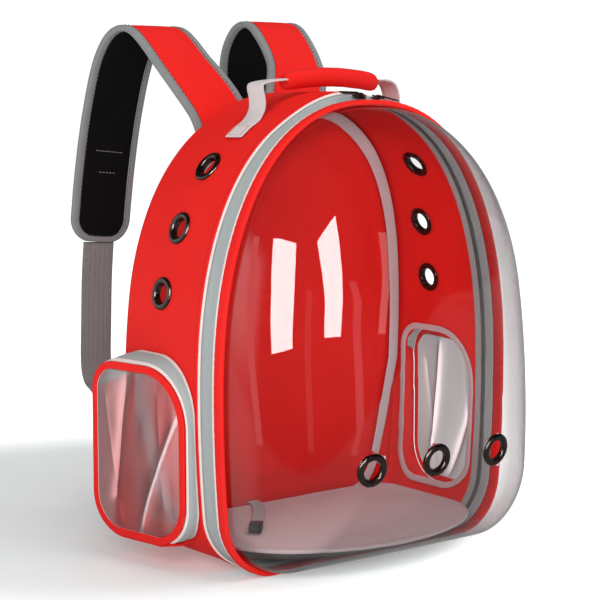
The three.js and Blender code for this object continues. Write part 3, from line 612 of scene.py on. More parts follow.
def stitches(name, path, material, pitch, length, thread):
    """A row of short thread stitches. The path gives a point, the way along and the way up for a share."""
    bm = bmesh.new()
    bm.loops.layers.uv.new("weave")
    places = [path(share) for share in np.linspace(0, 1, 200)]
    run = sum((b[0] - a[0]).length for a, b in zip(places, places[1:]))
    count = int(run / pitch)
    for i in range(count):
        point, along, up = path((i + 0.5) / count)
        along = along.normalized()
        side = up.cross(along).normalized()
        turn = Matrix((along, side, along.cross(side))).transposed().to_4x4()
        size = Matrix.Diagonal((length / 2, thread / 2, thread / 2, 1))
        bmesh.ops.create_uvsphere(bm, u_segments=6, v_segments=4, radius=1,
                                  matrix=Matrix.Translation(point) @ turn @ size)
    return shown(name, bm, material)


def on_rim(out, depth):
    """A path round the rim at a distance out and a depth."""
    def path(share):
        x, z, nx, nz = rim_at(share, out)
        return on_body(x, depth, z), Vector((-nz, 0, nx)), Vector((nx, 0, nz))
    return path


def binding_section(angle, u):
    across, lift = rounded(angle, power=0.72)
    pucker = BINDING_PUCKER * math.sin(u * RIM_LENGTH * math.tau / BINDING_PITCH)
    return BINDING_SEAT + (BINDING_RISE + pucker) * lift, BINDING * across


rim_binding = shown("rim_edge_binding", rim_band(binding_section, 640, 28, 2 * BINDING), red_cloth)
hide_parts("rim_binding")
red_thread = cloth("red_thread", THREAD_RED, THREAD_SHADE, relief=0.05, roughness=0.5)
stitches("rim_stitches", on_rim(**RIM_ROW), red_thread, **RIM_STITCH)
stitches("wall_stitches", on_rim(**WALL_ROW), red_thread, **WALL_STITCH)


# Dome: a clear PVC sheet blown to a deep bubble, rounder over the top and boxier down to the base. Its
# edge is trapped in the binding, and three holes low on it take eyelets.
DOME_DEPTH = 0.104
DOME_WALL = 0.0012
DOME_INSET = 0.0038
DOME_MIDDLE = 0.250
DOME_POWER = 2.15
DOME_HIGH_POWER = 1.9
DOME_LOW_POWER = 2.8
DOME_SHARE = 0.97
DOME_LIP = 0.004
DOME_LIP_SHARE = 0.0309
DOME_RUN = 0.26
DOME_EYELETS = {"left": -0.073, "centre": 0.0, "right": 0.073}
DOME_EYELET_HEIGHT = 0.105
# The dome's colour face on, then its painted shade where it is seen edge-on, at its limb.
DOME_CLEAR = (0.995, 0.995, 0.995)
DOME_EDGE_ON_SHADE = (0.55, 0.53, 0.535)
EDGE_ON_SHADE_RUN = 0.23


def either_shader(tree, share, first, second):
    """The surface is the first shader where a share is 0 and the second where it is 1."""
    chosen = node(tree, "MixShader", {"Fac": share, 1: first.outputs[0], 2: second.outputs[0]})
    tree.links.new(chosen.outputs["Shader"], tree.nodes["Material Output"].inputs["Surface"])


def clear_plastic(name, straight, edge_on_shade, start, roughness, ior):
    """Clear plastic sheet with painted shade where it is seen edge-on: its colour darkens from the straight
    colour towards a second one as the sheet turns away from view. The lamps' light goes through it to what is
    behind."""
    material, tree, shader = coated(name, {"Transmission Weight": 1.0, "Roughness": roughness, "IOR": ior})
    # Painted shade: the colour darkens as the sheet turns edge-on to the view.
    facing_away = node(tree, "LayerWeight", {"Blend": 0.5}).outputs["Facing"]
    tint = two_colours(tree, remap(tree, facing_away, start, start + EDGE_ON_SHADE_RUN, 0.0, 1.0), straight, edge_on_shade)
    tree.links.new(tint, shader.inputs["Base Color"])
    rays = node(tree, "LightPath").outputs
    lamp_light = maths(tree, "MAXIMUM", rays["Is Shadow Ray"], rays["Is Diffuse Ray"])
    either_shader(tree, lamp_light, shader, node(tree, "BsdfTransparent", {"Color": (0.94, 0.94, 0.94, 1)}))
    return material, tree, shader


def dome_depth(share, rise):
    power = DOME_POWER + ((DOME_LOW_POWER if rise < 0 else DOME_HIGH_POWER) - DOME_POWER) * rise * rise
    return -DOME_DEPTH * (1 - share**power) ** (1 / power)


def dome_point(u, v):
    x, z, _, _ = rim_at(u, -DOME_INSET)
    spread = z - DOME_MIDDLE
    rise = spread / math.hypot(x, spread)
    share = math.sin(min(v / DOME_SHARE, 1) * math.pi / 2) ** (2 / DOME_POWER)
    lip = max(v / DOME_SHARE - 1, 0) / DOME_LIP_SHARE * DOME_LIP
    return seat(x * share, dome_depth(min(share, 1), rise) + lip, DOME_MIDDLE + spread * share)


def dome_axis(x, z):
    """Where an eyelet sits on the dome, and the dome's outward normal there."""
    def depth(x, z):
        spread = z - DOME_MIDDLE
        angle = np.arctan2(RIM[:, 1] - DOME_MIDDLE, RIM[:, 0])
        reach = np.hypot(RIM[:, 0], RIM[:, 1] - DOME_MIDDLE) - DOME_INSET
        order = np.argsort(angle)
        edge = np.interp(math.atan2(spread, x), angle[order], reach[order])
        return dome_depth(math.hypot(x, spread) / edge, spread / math.hypot(x, spread))
    step = 0.004
    slope_x = (depth(x + step, z) - depth(x - step, z)) / (2 * step)
    slope_z = (depth(x, z + step) - depth(x, z - step)) / (2 * step)
    return seat(x, depth(x, z), z), Vector((slope_x, -1, slope_z)).normalized()


def dome_cut(point):
    return any(off_axis(point, axis) < AIR_HOLE for axis in DOME_AXES.values())


DOME_AXES = {name: dome_axis(x, DOME_EYELET_HEIGHT) for name, x in DOME_EYELETS.items()}
dome_film, _, _ = clear_plastic("clear_pvc_dome", DOME_CLEAR, DOME_EDGE_ON_SHADE, start=0.25,
                                roughness=0.012, ior=1.46)
dome = shown("clear_dome", bent_sheet(dome_point, 280, 84, (RIM_LENGTH, DOME_RUN), dome_cut), dome_film)
thicken(dome, DOME_WALL)
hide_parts("dome")


# Eyelets: rolled steel rings for air, each a curled flange outside, a barrel through the wall and a
# washer that it is riveted over inside. Three are on the dome and three on each side wall.
HOLE = 0.009
FLANGE = 0.0152
FLANGE_RISE = 0.0024
FLANGE_CURL = 0.8
FLANGE_FOOT = [(0.0146, -0.0002), (0.0102, 0.0)]
WASHER = [
    # radius, depth below the wall's inner face
    (0.0102, 0.0), (0.0142, 0.0), (0.0146, 0.0004), (0.0140, 0.0009),
    (0.0112, 0.0012), (0.0094, 0.0010), (0.0090, 0.0004),
]
WASHER_SEAT = 0.0008


def eyelet(name, axis, wall, eyelet_node):
    curl = [(HOLE + (FLANGE - HOLE) / 2 * (1 - math.cos(a)), FLANGE_RISE * math.sin(a) ** FLANGE_CURL)
            for a in np.linspace(0.0, math.pi, 14)]
    washer = [(radius, -wall - WASHER_SEAT - below) for radius, below in WASHER]
    bm = bmesh.new()
    verts = [bm.verts.new((radius, 0, height)) for radius, height in curl + FLANGE_FOOT + washer]
    edges = [bm.edges.new(pair) for pair in zip(verts, verts[1:] + verts[:1])]
    bmesh.ops.spin(bm, geom=verts + edges, cent=(0, 0, 0), axis=(0, 0, 1), angle=math.tau, steps=56,
                   use_merge=True)
    bmesh.ops.remove_doubles(bm, verts=bm.verts, dist=WELD)
    bmesh.ops.recalc_face_normals(bm, faces=bm.faces)
    place, normal = axis
    turn = Vector((0, 0, 1)).rotation_difference(normal).to_matrix().to_4x4()
    bmesh.ops.transform(bm, matrix=Matrix.Translation(place) @ turn, verts=bm.verts)
    ring = shown(name, bm, dark_metal)
    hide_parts(eyelet_node)


for name, axis in DOME_AXES.items():
    eyelet(f"dome_ring_{name}", axis, DOME_WALL, f"dome_eyelet_{name}")
for (side_name, name), axis in SIDE_AXES.items():
    eyelet(f"side_ring_{side_name}_{name}", axis, CLOTH, f"side_eyelet_{side_name}_{name}")


# Side pockets: a zip band over the top and front and red cloth below and behind stand off the wall, and carry
# a red frame round a slack clear film; a pale strip along the frame's inner edge is a painted highlight.
# Inside the bag a tape binds the window's edge.
POCKET_FACE = dict(front=0.037, back=0.160, bottom=0.023, top=0.184,
                   front_top=0.054, back_top=0.028, back_bottom=0.038, front_bottom=0.038)
POCKET_MIDDLE = (0.0985, 0.1035)
STAND_FRONT = 0.010
STAND_BACK = 0.030
POCKET_CLOTH = 0.002
POCKET_SEAT = 0.001
POCKET_LOWEST = 0.001
POCKET_ZIP_SHARE = 18 / 32
POCKET_BAND = 0.02
POCKET_WALL = 0.035
BAND_BULGE = 0.0016
EDGE_SHARE = 0.17
EDGE_RISE = 0.0006
WALL_SAG = 0.0030
SAG_WAVES = (17, 2)
SAG_SEED = 3.0
FRAME_WIDTH = 0.007
FRAME_LIP = 0.0012
FRAME_GIRTH = 2.2 * FRAME_WIDTH
# Share of the frame's section painted pale as a highlight along its inner edge.
FRAME_PAINTED_HIGHLIGHT = (0.44, 0.56)
FRAME_STITCH = dict(pitch=0.0038, length=0.0029, thread=0.0005)
FRAME_STITCH_LOOK = 0.002
FILM = 0.0006
FILM_BULGE = 0.003
FILM_EDGE_POWER = 8
FILM_RUN = 0.08
FILM_RIPPLE = 0.0009
RIPPLE_WAVES = (30, 10, 9)
RIPPLE_SEED = 9.0
# The film's colour face on holds a painted pink cast for red light from the cloth around it; its colour
# edge-on is painted shade.
FILM_FACE_ON_RED_BOUNCE = (0.90, 0.79, 0.80)
FILM_EDGE_ON_SHADE = (0.25, 0.24, 0.24)
# The film is cloudier behind a line that leans forward towards the top: its depth at the base, its lean,
# how far it spreads, and how much light goes straight through on either side of it.
CLOUD_DEPTH = 0.139
CLOUD_LEAN = 0.17
CLOUD_SPREAD = 0.006
CLEAR_FRONT = 0.93
CLEAR_REAR = 0.76
STREAK_SCALE = (1, 90, 14)
# Creases of the slack film, from the front of its top to its foot, as depth and height.
CREASES = [((0.042, 0.150), (0.098, 0.022)), ((0.112, 0.178), (0.128, 0.060)),
           ((0.070, 0.160), (0.062, 0.060)), ((0.140, 0.150), (0.120, 0.035))]
CREASE_RISES = (0.0034, -0.0030, 0.0005, 0.0008)
CREASE_WIDTH = 0.0045
CREASE_HIGHLIGHT_WIDTH = 0.0022
CREASE_HIGHLIGHT_STRENGTH = 0.28
WINDOW_TAPE = 0.006
WINDOW_LAP = 0.0004
WINDOW_TAPE_SPAN = (0.5, 0.02)
BASE_LOOP = pocket_outline(POCKET_BASE)[0]
FACE_LOOP, FACE_LENGTH = pocket_outline(POCKET_FACE)
FRAME_LOOP = pocket_outline(POCKET_FACE, FRAME_WIDTH)[0]
WINDOW_OUT = pocket_outline(POCKET_BASE, WINDOW_INSET - WINDOW_TAPE)[0]
WINDOW_IN = pocket_outline(POCKET_BASE, WINDOW_INSET + WINDOW_LAP)[0]


def pocket_face_x(depth):
    share = (depth - POCKET_FACE["front"]) / (POCKET_FACE["back"] - POCKET_FACE["front"])
    return BAG_WIDTH / 2 + STAND_FRONT + (STAND_BACK - STAND_FRONT) * share


def off_line(y, z, start, end):
    """Distance of a point of the side view from a stretch of line."""
    along = Vector(end) - Vector(start)
    share = min(max((Vector((y, z)) - Vector(start)).dot(along) / along.length_squared, 0), 1)
    return (Vector((y, z)) - Vector(start) - along * share).length


def film_relief(y, z, side):
    """How far the slack film stands out from its frame: creases, and ripples that run with them."""
    creases = sum(rise * math.exp(-off_line(y, z, *line) / CREASE_WIDTH)
                  for rise, line in zip(CREASE_RISES, CREASES))
    across, lean, along = RIPPLE_WAVES
    ripple = noise.noise(Vector((y * across + z * lean, z * along, RIPPLE_SEED + side)))
    return creases + FILM_RIPPLE * ripple


def film_plastic():
    """The pockets' thin PVC: cloudy from handling, most of all at the rear, in streaks, and pale along its
    main fold, which is a painted highlight."""
    material, tree, shader = clear_plastic("clear_pvc_pocket", FILM_FACE_ON_RED_BOUNCE, FILM_EDGE_ON_SHADE, start=0.18,
                                           roughness=0.28, ior=1.2)
    place = node(tree, "TexCoord").outputs["Object"]
    axes = node(tree, "SeparateXYZ", {0: place}).outputs
    across_cloud = maths(tree, "MULTIPLY_ADD", axes["Z"], CLOUD_LEAN, axes["Y"])
    rear = RIM_Y + CLOUD_DEPTH
    cloud = remap(tree, across_cloud, rear - CLOUD_SPREAD, rear + CLOUD_SPREAD, CLEAR_FRONT, CLEAR_REAR)
    drawn = node(tree, "Mapping", {"Vector": place, "Scale": STREAK_SCALE}).outputs["Vector"]
    streaks = node(tree, "TexNoise", {"Vector": drawn, "Scale": 1.0, "Detail": 3}).outputs["Fac"]
    smear = remap(tree, streaks, start=0.3, end=0.7, low=0.96, high=1.02)
    clear = node(tree, "Math", {0: cloud, 1: smear}, operation="MULTIPLY", use_clamp=True).outputs[0]
    # Painted highlight: less light goes straight through along a line on the main crease, so that line shows
    # pale.
    (top_depth, top_height), (foot_depth, foot_height) = CREASES[0]
    lean = (foot_depth - top_depth) / (top_height - foot_height)
    across_fold = maths(tree, "MULTIPLY_ADD", axes["Z"], lean, axes["Y"])
    fold = maths(tree, "COMPARE", across_fold, RIM_Y + top_depth + lean * top_height, CREASE_HIGHLIGHT_WIDTH)
    clear_with_painted_highlight = maths(tree, "MULTIPLY_ADD", fold, -CREASE_HIGHLIGHT_STRENGTH, clear)
    tree.links.new(clear_with_painted_highlight, shader.inputs["Transmission Weight"])
    return material


pocket_film = film_plastic()


def two_tone(bm, width, picks):
    """Gives the second material to the faces whose share of the way across a sheet is picked."""
    weave = bm.loops.layers.uv["weave"]
    for face in bm.faces:
        across = sum(loop[weave].uv.y for loop in face.loops) / len(face.loops) / width
        face.material_index = 1 if picks(across) else 0
    return bm


def is_zip_edge(across):
    return across < EDGE_SHARE or across > 1 - EDGE_SHARE


def is_frame_highlight(across):
    return FRAME_PAINTED_HIGHLIGHT[0] < across < FRAME_PAINTED_HIGHLIGHT[1]


for side_name, side in SIDES.items():
    def band_point(share, lift, out=0.0):
        """A point of the band between the wall and the pocket's face."""
        y0, z0 = between(BASE_LOOP, share)
        y1, z1 = between(FACE_LOOP, share)
        x0 = rim_half_width(z0) + POCKET_SEAT
        x1 = pocket_face_x(y1) - POCKET_CLOTH / 2 - GAP
        x, y, z = mid((x0, y0, z0), (x1, y1, z1), lift)
        away = Vector((y - POCKET_MIDDLE[0], z - POCKET_MIDDLE[1])).normalized()
        away *= BAND_BULGE * math.sin(math.pi * lift) + out
        return seat(side * x, y + away.x, max(z + away.y, POCKET_LOWEST))

    def zip_band_point(u, v):
        return band_point(u * POCKET_ZIP_SHARE, v, EDGE_RISE if is_zip_edge(v) else 0.0)

    bm = bent_sheet(zip_band_point, 150, 24, (POCKET_ZIP_SHARE * FACE_LENGTH, POCKET_BAND))
    zip_band = shown(f"pocket_zip_{side_name}", two_tone(bm, POCKET_BAND, is_zip_edge), grey_tape, pale_tape)
    thicken(zip_band, POCKET_CLOTH)
    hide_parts(f"pocket_zipper_{side_name}")

    def cloth_band_point(u, v):
        share = POCKET_ZIP_SHARE + u * (1 - POCKET_ZIP_SHARE)
        wave = noise.noise(Vector((share * SAG_WAVES[0], v * SAG_WAVES[1], side * SAG_SEED)))
        return band_point(share, v, WALL_SAG * wave * math.sin(math.pi * v))

    cloth_span = ((1 - POCKET_ZIP_SHARE) * FACE_LENGTH, POCKET_WALL)
    bm = bent_sheet(cloth_band_point, 110, 20, cloth_span)
    cloth_band = shown(f"pocket_wall_{side_name}", bm, red_cloth)
    thicken(cloth_band, POCKET_CLOTH)
    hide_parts(f"pocket_gusset_{side_name}")

    def frame_point(u, v):
        across, lift = rounded(v * math.tau, power=0.6)
        y, z = mid(between(FACE_LOOP, u), between(FRAME_LOOP, u), (1 - across) / 2)
        return seat(side * (pocket_face_x(y) + FRAME_LIP * lift), y, z)

    # The pale strip along the frame's inner edge is a painted highlight.
    bm = two_tone(bent_sheet(frame_point, 300, 24, (FACE_LENGTH, FRAME_GIRTH)), FRAME_GIRTH, is_frame_highlight)
    pocket_frame = shown(f"pocket_edge_{side_name}", bm, red_cloth, pale_tape)
    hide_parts(f"pocket_frame_{side_name}")

    def frame_row(share):
        """A row of stitches along the top of the frame's section, a quarter of the way round it."""
        middle, ahead = (frame_point(at, 0.25) for at in (share, (share + FRAME_STITCH_LOOK) % 1))
        return middle, ahead - middle, Vector((side, 0, 0))

    stitches(f"pocket_stitches_{side_name}", frame_row, red_thread, **FRAME_STITCH)

    def film_point(u, v):
        y, z = mid(POCKET_MIDDLE, between(FRAME_LOOP, u), v)
        out = FILM_BULGE * (1 - v**2) + film_relief(y, z, side) * (1 - v**FILM_EDGE_POWER)
        return seat(side * (pocket_face_x(y) + out), y, z)

    bm = bent_sheet(film_point, 240, 70, (FACE_LENGTH, FILM_RUN))
    film = shown(f"pocket_window_{side_name}", bm, pocket_film)
    thicken(film, FILM, offset=0.0)
    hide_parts(f"pocket_film_{side_name}")

    def window_tape_point(u, v):
        across, lift = rounded(v * math.tau, power=0.7)
        y, z = mid(between(WINDOW_OUT, u), between(WINDOW_IN, u), (1 + across) / 2)
        out = -CLOTH - GAP - TAPE_THICKNESS / 2 * (1 - lift)
        normal = wall_slope(z)
        return seat(side * (rim_half_width(z) + normal.x * out), y, z + normal.z * out)

    bm = bent_sheet(window_tape_point, 220, 18, WINDOW_TAPE_SPAN)
    window_tape = shown(f"window_tape_{side_name}", bm, mauve_tape)
    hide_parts(f"window_binding_{side_name}")


# Floor mat: a foam pad in soft grey cloth that lifts out. It fills the base, square at the back, and its
# rounded front reaches into the dome and turns up a little with it. A welt runs round its upper edge. Its
# underside and lower sides are dark with painted shade, and its grey carries a painted pink cast for red
# light from the walls.
MAT_LEVELS = [
    # height, half width, back, front
    (0.0027, 0.100, 0.138, 0.048),
    (0.0100, 0.124, 0.141, -0.024),
    (0.0180, 0.136, 0.142, -0.046),
    (0.0225, 0.140, 0.142, -0.054),
    (0.0248, 0.137, 0.139, -0.051),
]
MAT_WIDEST = 3
MAT_SHOULDER = 0.040
MAT_CORNER = 0.022
MAT_MIDDLE = 0.060
MAT_SPAN = (0.85, 0.3)
# Shares of the mat's cover: its underside, its sides and its top, then what is dark with painted shade and
# what is held.
MAT_UNDER = 0.25
MAT_SIDES = 0.3
MAT_TOP = 0.45
MAT_PAINTED_SHADE_SHARE = 0.46
MAT_HELD = 0.6
MAT_SLACK = 0.0018
MAT_SLACK_POWER = 8
MAT_SWELL = 0.8 * MAT_SLACK
MAT_PRESSURE = 2.0
MAT_WELT = 0.0012
MAT_WELT_HEIGHT = 0.0236
MAT_WELT_GIRTH = 0.01
# The mat's colours are grey with a painted pink cast for red light thrown on it by the walls.
MAT_GREY_RED_BOUNCE = (0.56, 0.46, 0.47)
MAT_DRIFT_RED_BOUNCE = (0.48, 0.39, 0.40)
# Painted shade: the dark colour of the mat's underside and lower sides.
MAT_PAINTED_SHADE = (0.10, 0.095, 0.095)
MAT_PAINTED_SHADE_DRIFT = (0.08, 0.076, 0.076)


def mat_loop(half_width, back, front):
    turn = np.linspace(0, math.pi / 2, 20)
    right = np.column_stack([half_width - MAT_CORNER + MAT_CORNER * np.cos(turn),
                             back - MAT_CORNER + MAT_CORNER * np.sin(turn)])
    left = right[::-1] * (-1, 1)
    sweep = np.linspace(math.pi, math.tau, 80)
    nose = np.column_stack([half_width * np.cos(sweep),
                            MAT_SHOULDER + (MAT_SHOULDER - front) * np.sin(sweep)])
    return even_loop(np.vstack([right, left, nose]), 480)[0]


MAT_LOOPS = [mat_loop(*row[1:]) for row in MAT_LEVELS]
MAT_HEIGHTS = [row[0] for row in MAT_LEVELS]


def mat_point(u, v):
    """The mat's cover: v runs out under the mat, up its sides and in over its top."""
    rise = min(max((v - MAT_UNDER) / MAT_SIDES, 0), 1) * (len(MAT_LEVELS) - 1)
    size = min(v / MAT_UNDER, 1) if v < 0.5 else min((1 - v) / MAT_TOP, 1)
    k = min(int(rise), len(MAT_LEVELS) - 2)
    low, high = ((*between(MAT_LOOPS[i], u), MAT_HEIGHTS[i]) for i in (k, k + 1))
    x, depth, z = mid(low, high, rise - k)
    x, depth = x * size, MAT_MIDDLE + (depth - MAT_MIDDLE) * size
    if v > 0.5:
        z -= MAT_SLACK * (1 - size**MAT_SLACK_POWER)
    return seat(x, depth, z)


mat_cloth = cloth("grey_mat_cloth_painted_red_bounce", MAT_GREY_RED_BOUNCE, MAT_DRIFT_RED_BOUNCE, thread=0.0012, relief=0.35, roughness=0.85)
mat_painted_shade = cloth("mat_cloth_painted_shade", MAT_PAINTED_SHADE, MAT_PAINTED_SHADE_DRIFT, thread=0.0012, relief=0.35)
# Faces up to the painted shade share take the dark colour, painted as shade.
bm = two_tone(bent_sheet(mat_point, 200, 70, MAT_SPAN), MAT_SPAN[1], lambda across: across < MAT_PAINTED_SHADE_SHARE)
mat = shown("floor_pad", bm, mat_cloth, mat_painted_shade)
swell(mat, lambda u, v: v / MAT_SPAN[1] < MAT_HELD, MAT_PRESSURE, MAT_SWELL)
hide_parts("floor_mat")


def welt_point(u, v):
    out, up = rounded(v * math.tau, power=1)
    x, depth = between(MAT_LOOPS[MAT_WIDEST], u)
    inward = Vector((x, depth - MAT_MIDDLE)).normalized() * (MAT_WELT * (out - 1))
    return seat(x + inward.x, depth + inward.y, MAT_WELT_HEIGHT + MAT_WELT * up)


welt = shown("floor_pad_welt", bent_sheet(welt_point, 240, 12, (MAT_SPAN[0], MAT_WELT_GIRTH)), mauve_tape)


# Tether: a grey tape sewn to the back seam that lies on the mat, with a black plastic snap clip on its end
# for a collar.
TETHER = [(-0.028, 0.1484), (-0.029, 0.138), (-0.044, 0.112), (-0.066, 0.084), (-0.082, 0.064)]
TETHER_TOP = 0.0261
TETHER_WIDTH = 0.012
TETHER_THICKNESS = 0.0016
TETHER_ACROSS = Vector((0.78, -0.62, 0))
CLIP_BLOCKS = [
    # size along, across and up; middle along, across and up; rounding of the edges
    ((0.016, 0.0130, 0.0062), (-0.006, 0, 0), 0.0018),
    ((0.012, 0.0028, 0.0050), (0.008, 0.0046, 0), 0.0010),
    ((0.012, 0.0028, 0.0050), (0.008, -0.0046, 0), 0.0010),
    ((0.003, 0.0120, 0.0050), (0.013, 0, 0), 0.0010),
]
CLIP_ALONG = (-0.016, -0.020)
BLACK = (0.02, 0.02, 0.022)
BLACK_SHADE = (0.03, 0.03, 0.032)


def even_path(points, steps):
    """A smooth route through a few points: rows of place and direction at equal steps, and its length."""
    points = np.array(points, float)
    ends = np.vstack([2 * points[0] - points[1], points, 2 * points[-1] - points[-2]])
    fine = []
    for p0, p1, p2, p3 in zip(ends, ends[1:], ends[2:], ends[3:]):
        for t in np.linspace(0, 1, 40, endpoint=False):
            fine.append(0.5 * (2 * p1 + (p2 - p0) * t + (2 * p0 - 5 * p1 + 4 * p2 - p3) * t**2
                               + (3 * p1 - p0 - 3 * p2 + p3) * t**3))
    places, length = even_steps(np.vstack([fine, points[-1:]]), steps)
    return np.column_stack([places, np.gradient(places, axis=0)]).tolist(), length


def band_frame(path, share, across):
    """Place, direction, way across and way up of a band a share of the way along its path."""
    row = between(path[0], share)
    place, along = Vector(row[:3]), Vector(row[3:]).normalized()
    side = (across - along * across.dot(along)).normalized()
    return place, along, side, along.cross(side)


def band(path, across, width, thickness, columns, end=0.0015):
    """Flat webbing along a path, with rounded edges and ends closed over a short stretch."""
    length = path[1]

    def place(u, v):
        centre, _, side, up = band_frame(path, u, across)
        s, h = rounded(v * math.tau, power=0.4)
        close = min(min(u, 1 - u) * length / end, 1)
        return centre + side * (s * width / 2) + up * (h * thickness / 2 * close)
    return bent_sheet(place, columns, 20, (length, 2 * width))


tether_path = even_path([seat(x, y, TETHER_TOP) for x, y in TETHER], 60)
bm = band(tether_path, TETHER_ACROSS, TETHER_WIDTH, TETHER_THICKNESS, 60)
tether = shown("tether_tape", bm, grey_tape)
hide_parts("tether_strap")

black_plastic = cloth("black_moulded_plastic", BLACK, BLACK_SHADE, thread=0.0004, relief=0.1, roughness=0.4,
                      sheen=0.0)
clip_low, clip_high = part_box("tether_clip")
bm = bmesh.new()
bm.loops.layers.uv.new("weave")
for size, middle, edge in CLIP_BLOCKS:
    soft_block(bm, size, middle, edge)
clip_turn = Matrix.Rotation(math.atan2(CLIP_ALONG[1], CLIP_ALONG[0]), 4, "Z")
bmesh.ops.transform(bm, matrix=Matrix.Translation((clip_low + clip_high) / 2) @ clip_turn, verts=bm.verts)
clip = shown("tether_snap_clip", bm, black_plastic)
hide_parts("tether_clip")


# Top handle: a padded tube of red cloth, to the right of the middle, on pale webbing that comes out of its
# ends and turns down to a patch on each side, sewn to the side wall.
HANDLE_DEPTH = 0.076
GRIP_MIDDLE = 0.014
GRIP_HALF = 0.057
GRIP_HEIGHT = 0.438
GRIP_BOW = 0.005
GRIP_ACROSS = 0.0100
GRIP_UP = 0.0102
GRIP_SPAN = (2 * GRIP_HALF, 0.060)
GRIP_END_POWER = 18
GRIP_FOLD = 0.03
GRIP_FOLD_WAVES = (5, 1.2)
GRIP_HELD = 0.44
GRIP_SLACK = 0.0012
GRIP_SWELL = 0.8 * GRIP_SLACK
WEBBING = 0.025
WEBBING_THICKNESS = 0.0022
WEBBING_ACROSS = Vector((0, 1, 0))
PATCH_SEAT = 0.0021
PATCH_START = 0.03
PATCH_RUN = 0.14
PATCH_REACH = 0.4 * WEBBING
PATCH_STITCH = dict(pitch=0.0034, length=0.0026, thread=0.0006)
# Places of the webbing counted out from the middle: on the wall, then, with their heights, up to the grip.
PATCHES = {"left": (0.098, 0.087, 0.077), "right": (0.110, 0.102, 0.095)}
RISES = {
    "left": ((0.071, 0.4125), (0.0705, 0.422), (0.0725, 0.4305), (0.0715, 0.4355), (0.062, 0.438),
             (0.0436, 0.440)),
    "right": ((0.090, 0.408), (0.091, 0.419), (0.090, 0.429), (0.086, 0.4365), (0.0795, 0.440),
              (0.0716, 0.4405)),
}
WEBBING_PALE = (0.62, 0.56, 0.56)
WEBBING_SHADE = (0.53, 0.47, 0.47)


def grip_point(u, v):
    t = 2 * u - 1
    angle = v * math.tau
    close = (1 - abs(t) ** GRIP_END_POWER) ** 0.5
    along, round_it = GRIP_FOLD_WAVES
    folds = noise.noise(Vector((t * along, math.cos(angle) * round_it, math.sin(angle) * round_it)))
    full = (1 + GRIP_FOLD * folds) * close
    across, tall = (GRIP_ACROSS - GRIP_SLACK) * full, (GRIP_UP - GRIP_SLACK) * full
    height = GRIP_HEIGHT + GRIP_BOW * (1 - t * t)
    return seat(GRIP_MIDDLE + t * GRIP_HALF, HANDLE_DEPTH + across * math.cos(angle),
                height + tall * math.sin(angle))


def grip_held(u, v):
    return abs(u / GRIP_SPAN[0] - 0.5) > GRIP_HELD


grip = shown("handle_grip_pad", bent_sheet(grip_point, 110, 40, GRIP_SPAN), red_cloth)
swell(grip, grip_held, PAD_PRESSURE, GRIP_SWELL)
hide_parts("handle_grip")

pale_webbing = cloth("pale_webbing", WEBBING_PALE, WEBBING_SHADE, thread=0.0016, relief=0.5)

for side_name, side in SIDES.items():
    patch = [seat(side * x, HANDLE_DEPTH, arch_height(x, PATCH_SEAT)) for x in PATCHES[side_name]]
    rise = [seat(side * x, HANDLE_DEPTH, z) for x, z in RISES[side_name]]
    handle_path = even_path(patch + rise, 120)
    bm = band(handle_path, WEBBING_ACROSS, WEBBING, WEBBING_THICKNESS, 120)
    webbing = shown(f"handle_strap_{side_name}", bm, pale_webbing)
    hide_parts(f"handle_webbing_{side_name}")

    def patch_row(share):
        """A box of stitches round the sewn end of the webbing."""
        lap = min(int(4 * share), 3)
        step = 4 * share - lap
        along = (step, 1, 1 - step, 0)[lap]
        aside = (0, step, 1, 1 - step)[lap] * 2 - 1
        middle, run, across, up = band_frame(handle_path, PATCH_START + PATCH_RUN * along, WEBBING_ACROSS)
        on_top = up if up.z > 0 else -up
        way = run if lap % 2 == 0 else across
        return middle + across * (aside * PATCH_REACH) + on_top * (WEBBING_THICKNESS / 2), way, on_top

    stitches(f"handle_stitches_{side_name}", patch_row, red_thread, **PATCH_STITCH)


# Shoulder straps: foam bands, red cloth outside and black mesh towards the shoulder, bound round the edge
# with grey tape. Webbing sewn into the rounded end runs back to the lower corner of the back panel.
STRAP_WIDTH = 0.067
STRAP_PAD = 0.009
STRAP_SLACK = 0.0012
STRAP_SWELL = 0.9 * STRAP_SLACK
STRAP_EDGE = 0.004
STRAP_EDGE_POWER = 5
STRAP_TUCK = 0.001
STRAP_CLOSE = 0.006
STRAP_ROUND = 0.024
STRAP_HELD_START = 0.05
STRAP_HELD_END = 0.012
STRAP_HELD_EDGE = 0.7
STRAP_STEPS = 200
STRAP_WEBBING = 0.036
STRAP_WEBBING_END = 0.0004
STRAP_SEWN = [(0.040, 0.165, 0.338), (0.040, 0.165, 0.362), (0.041, 0.1658, 0.384), (0.048, 0.1755, 0.415)]
STRAP_ROUTES = {
    "left": [(0.067, 0.198, 0.454), (0.076, 0.233, 0.488), (0.080, 0.263, 0.488), (0.084, 0.286, 0.462),
             (0.090, 0.299, 0.410), (0.096, 0.306, 0.350), (0.102, 0.310, 0.278)],
    "right": [(0.067, 0.198, 0.455), (0.071, 0.236, 0.495), (0.073, 0.268, 0.497), (0.077, 0.296, 0.468),
              (0.085, 0.307, 0.414), (0.094, 0.310, 0.350), (0.102, 0.310, 0.278)],
}
STRAP_WEBBING_ROUTE = [
    (0.102, 0.310, 0.2778), (0.1035, 0.312, 0.240), (0.105, 0.312, 0.195), (0.1065, 0.311, 0.156),
    (0.108, 0.303, 0.137), (0.110, 0.284, 0.128), (0.113, 0.250, 0.112), (0.116, 0.208, 0.090),
    (0.116, 0.1606, 0.076),
]
ACROSS = Vector((1, 0, 0))
EDGING_MIDDLE = 0.0036
EDGING_REACH = 0.0044
EDGING_STAND = 0.0012
EDGING_GIRTH = 0.02
EDGE_ROW = 0.0064
EDGE_ROW_HEIGHT = 0.0033
EDGE_ROW_LOOK = 0.002
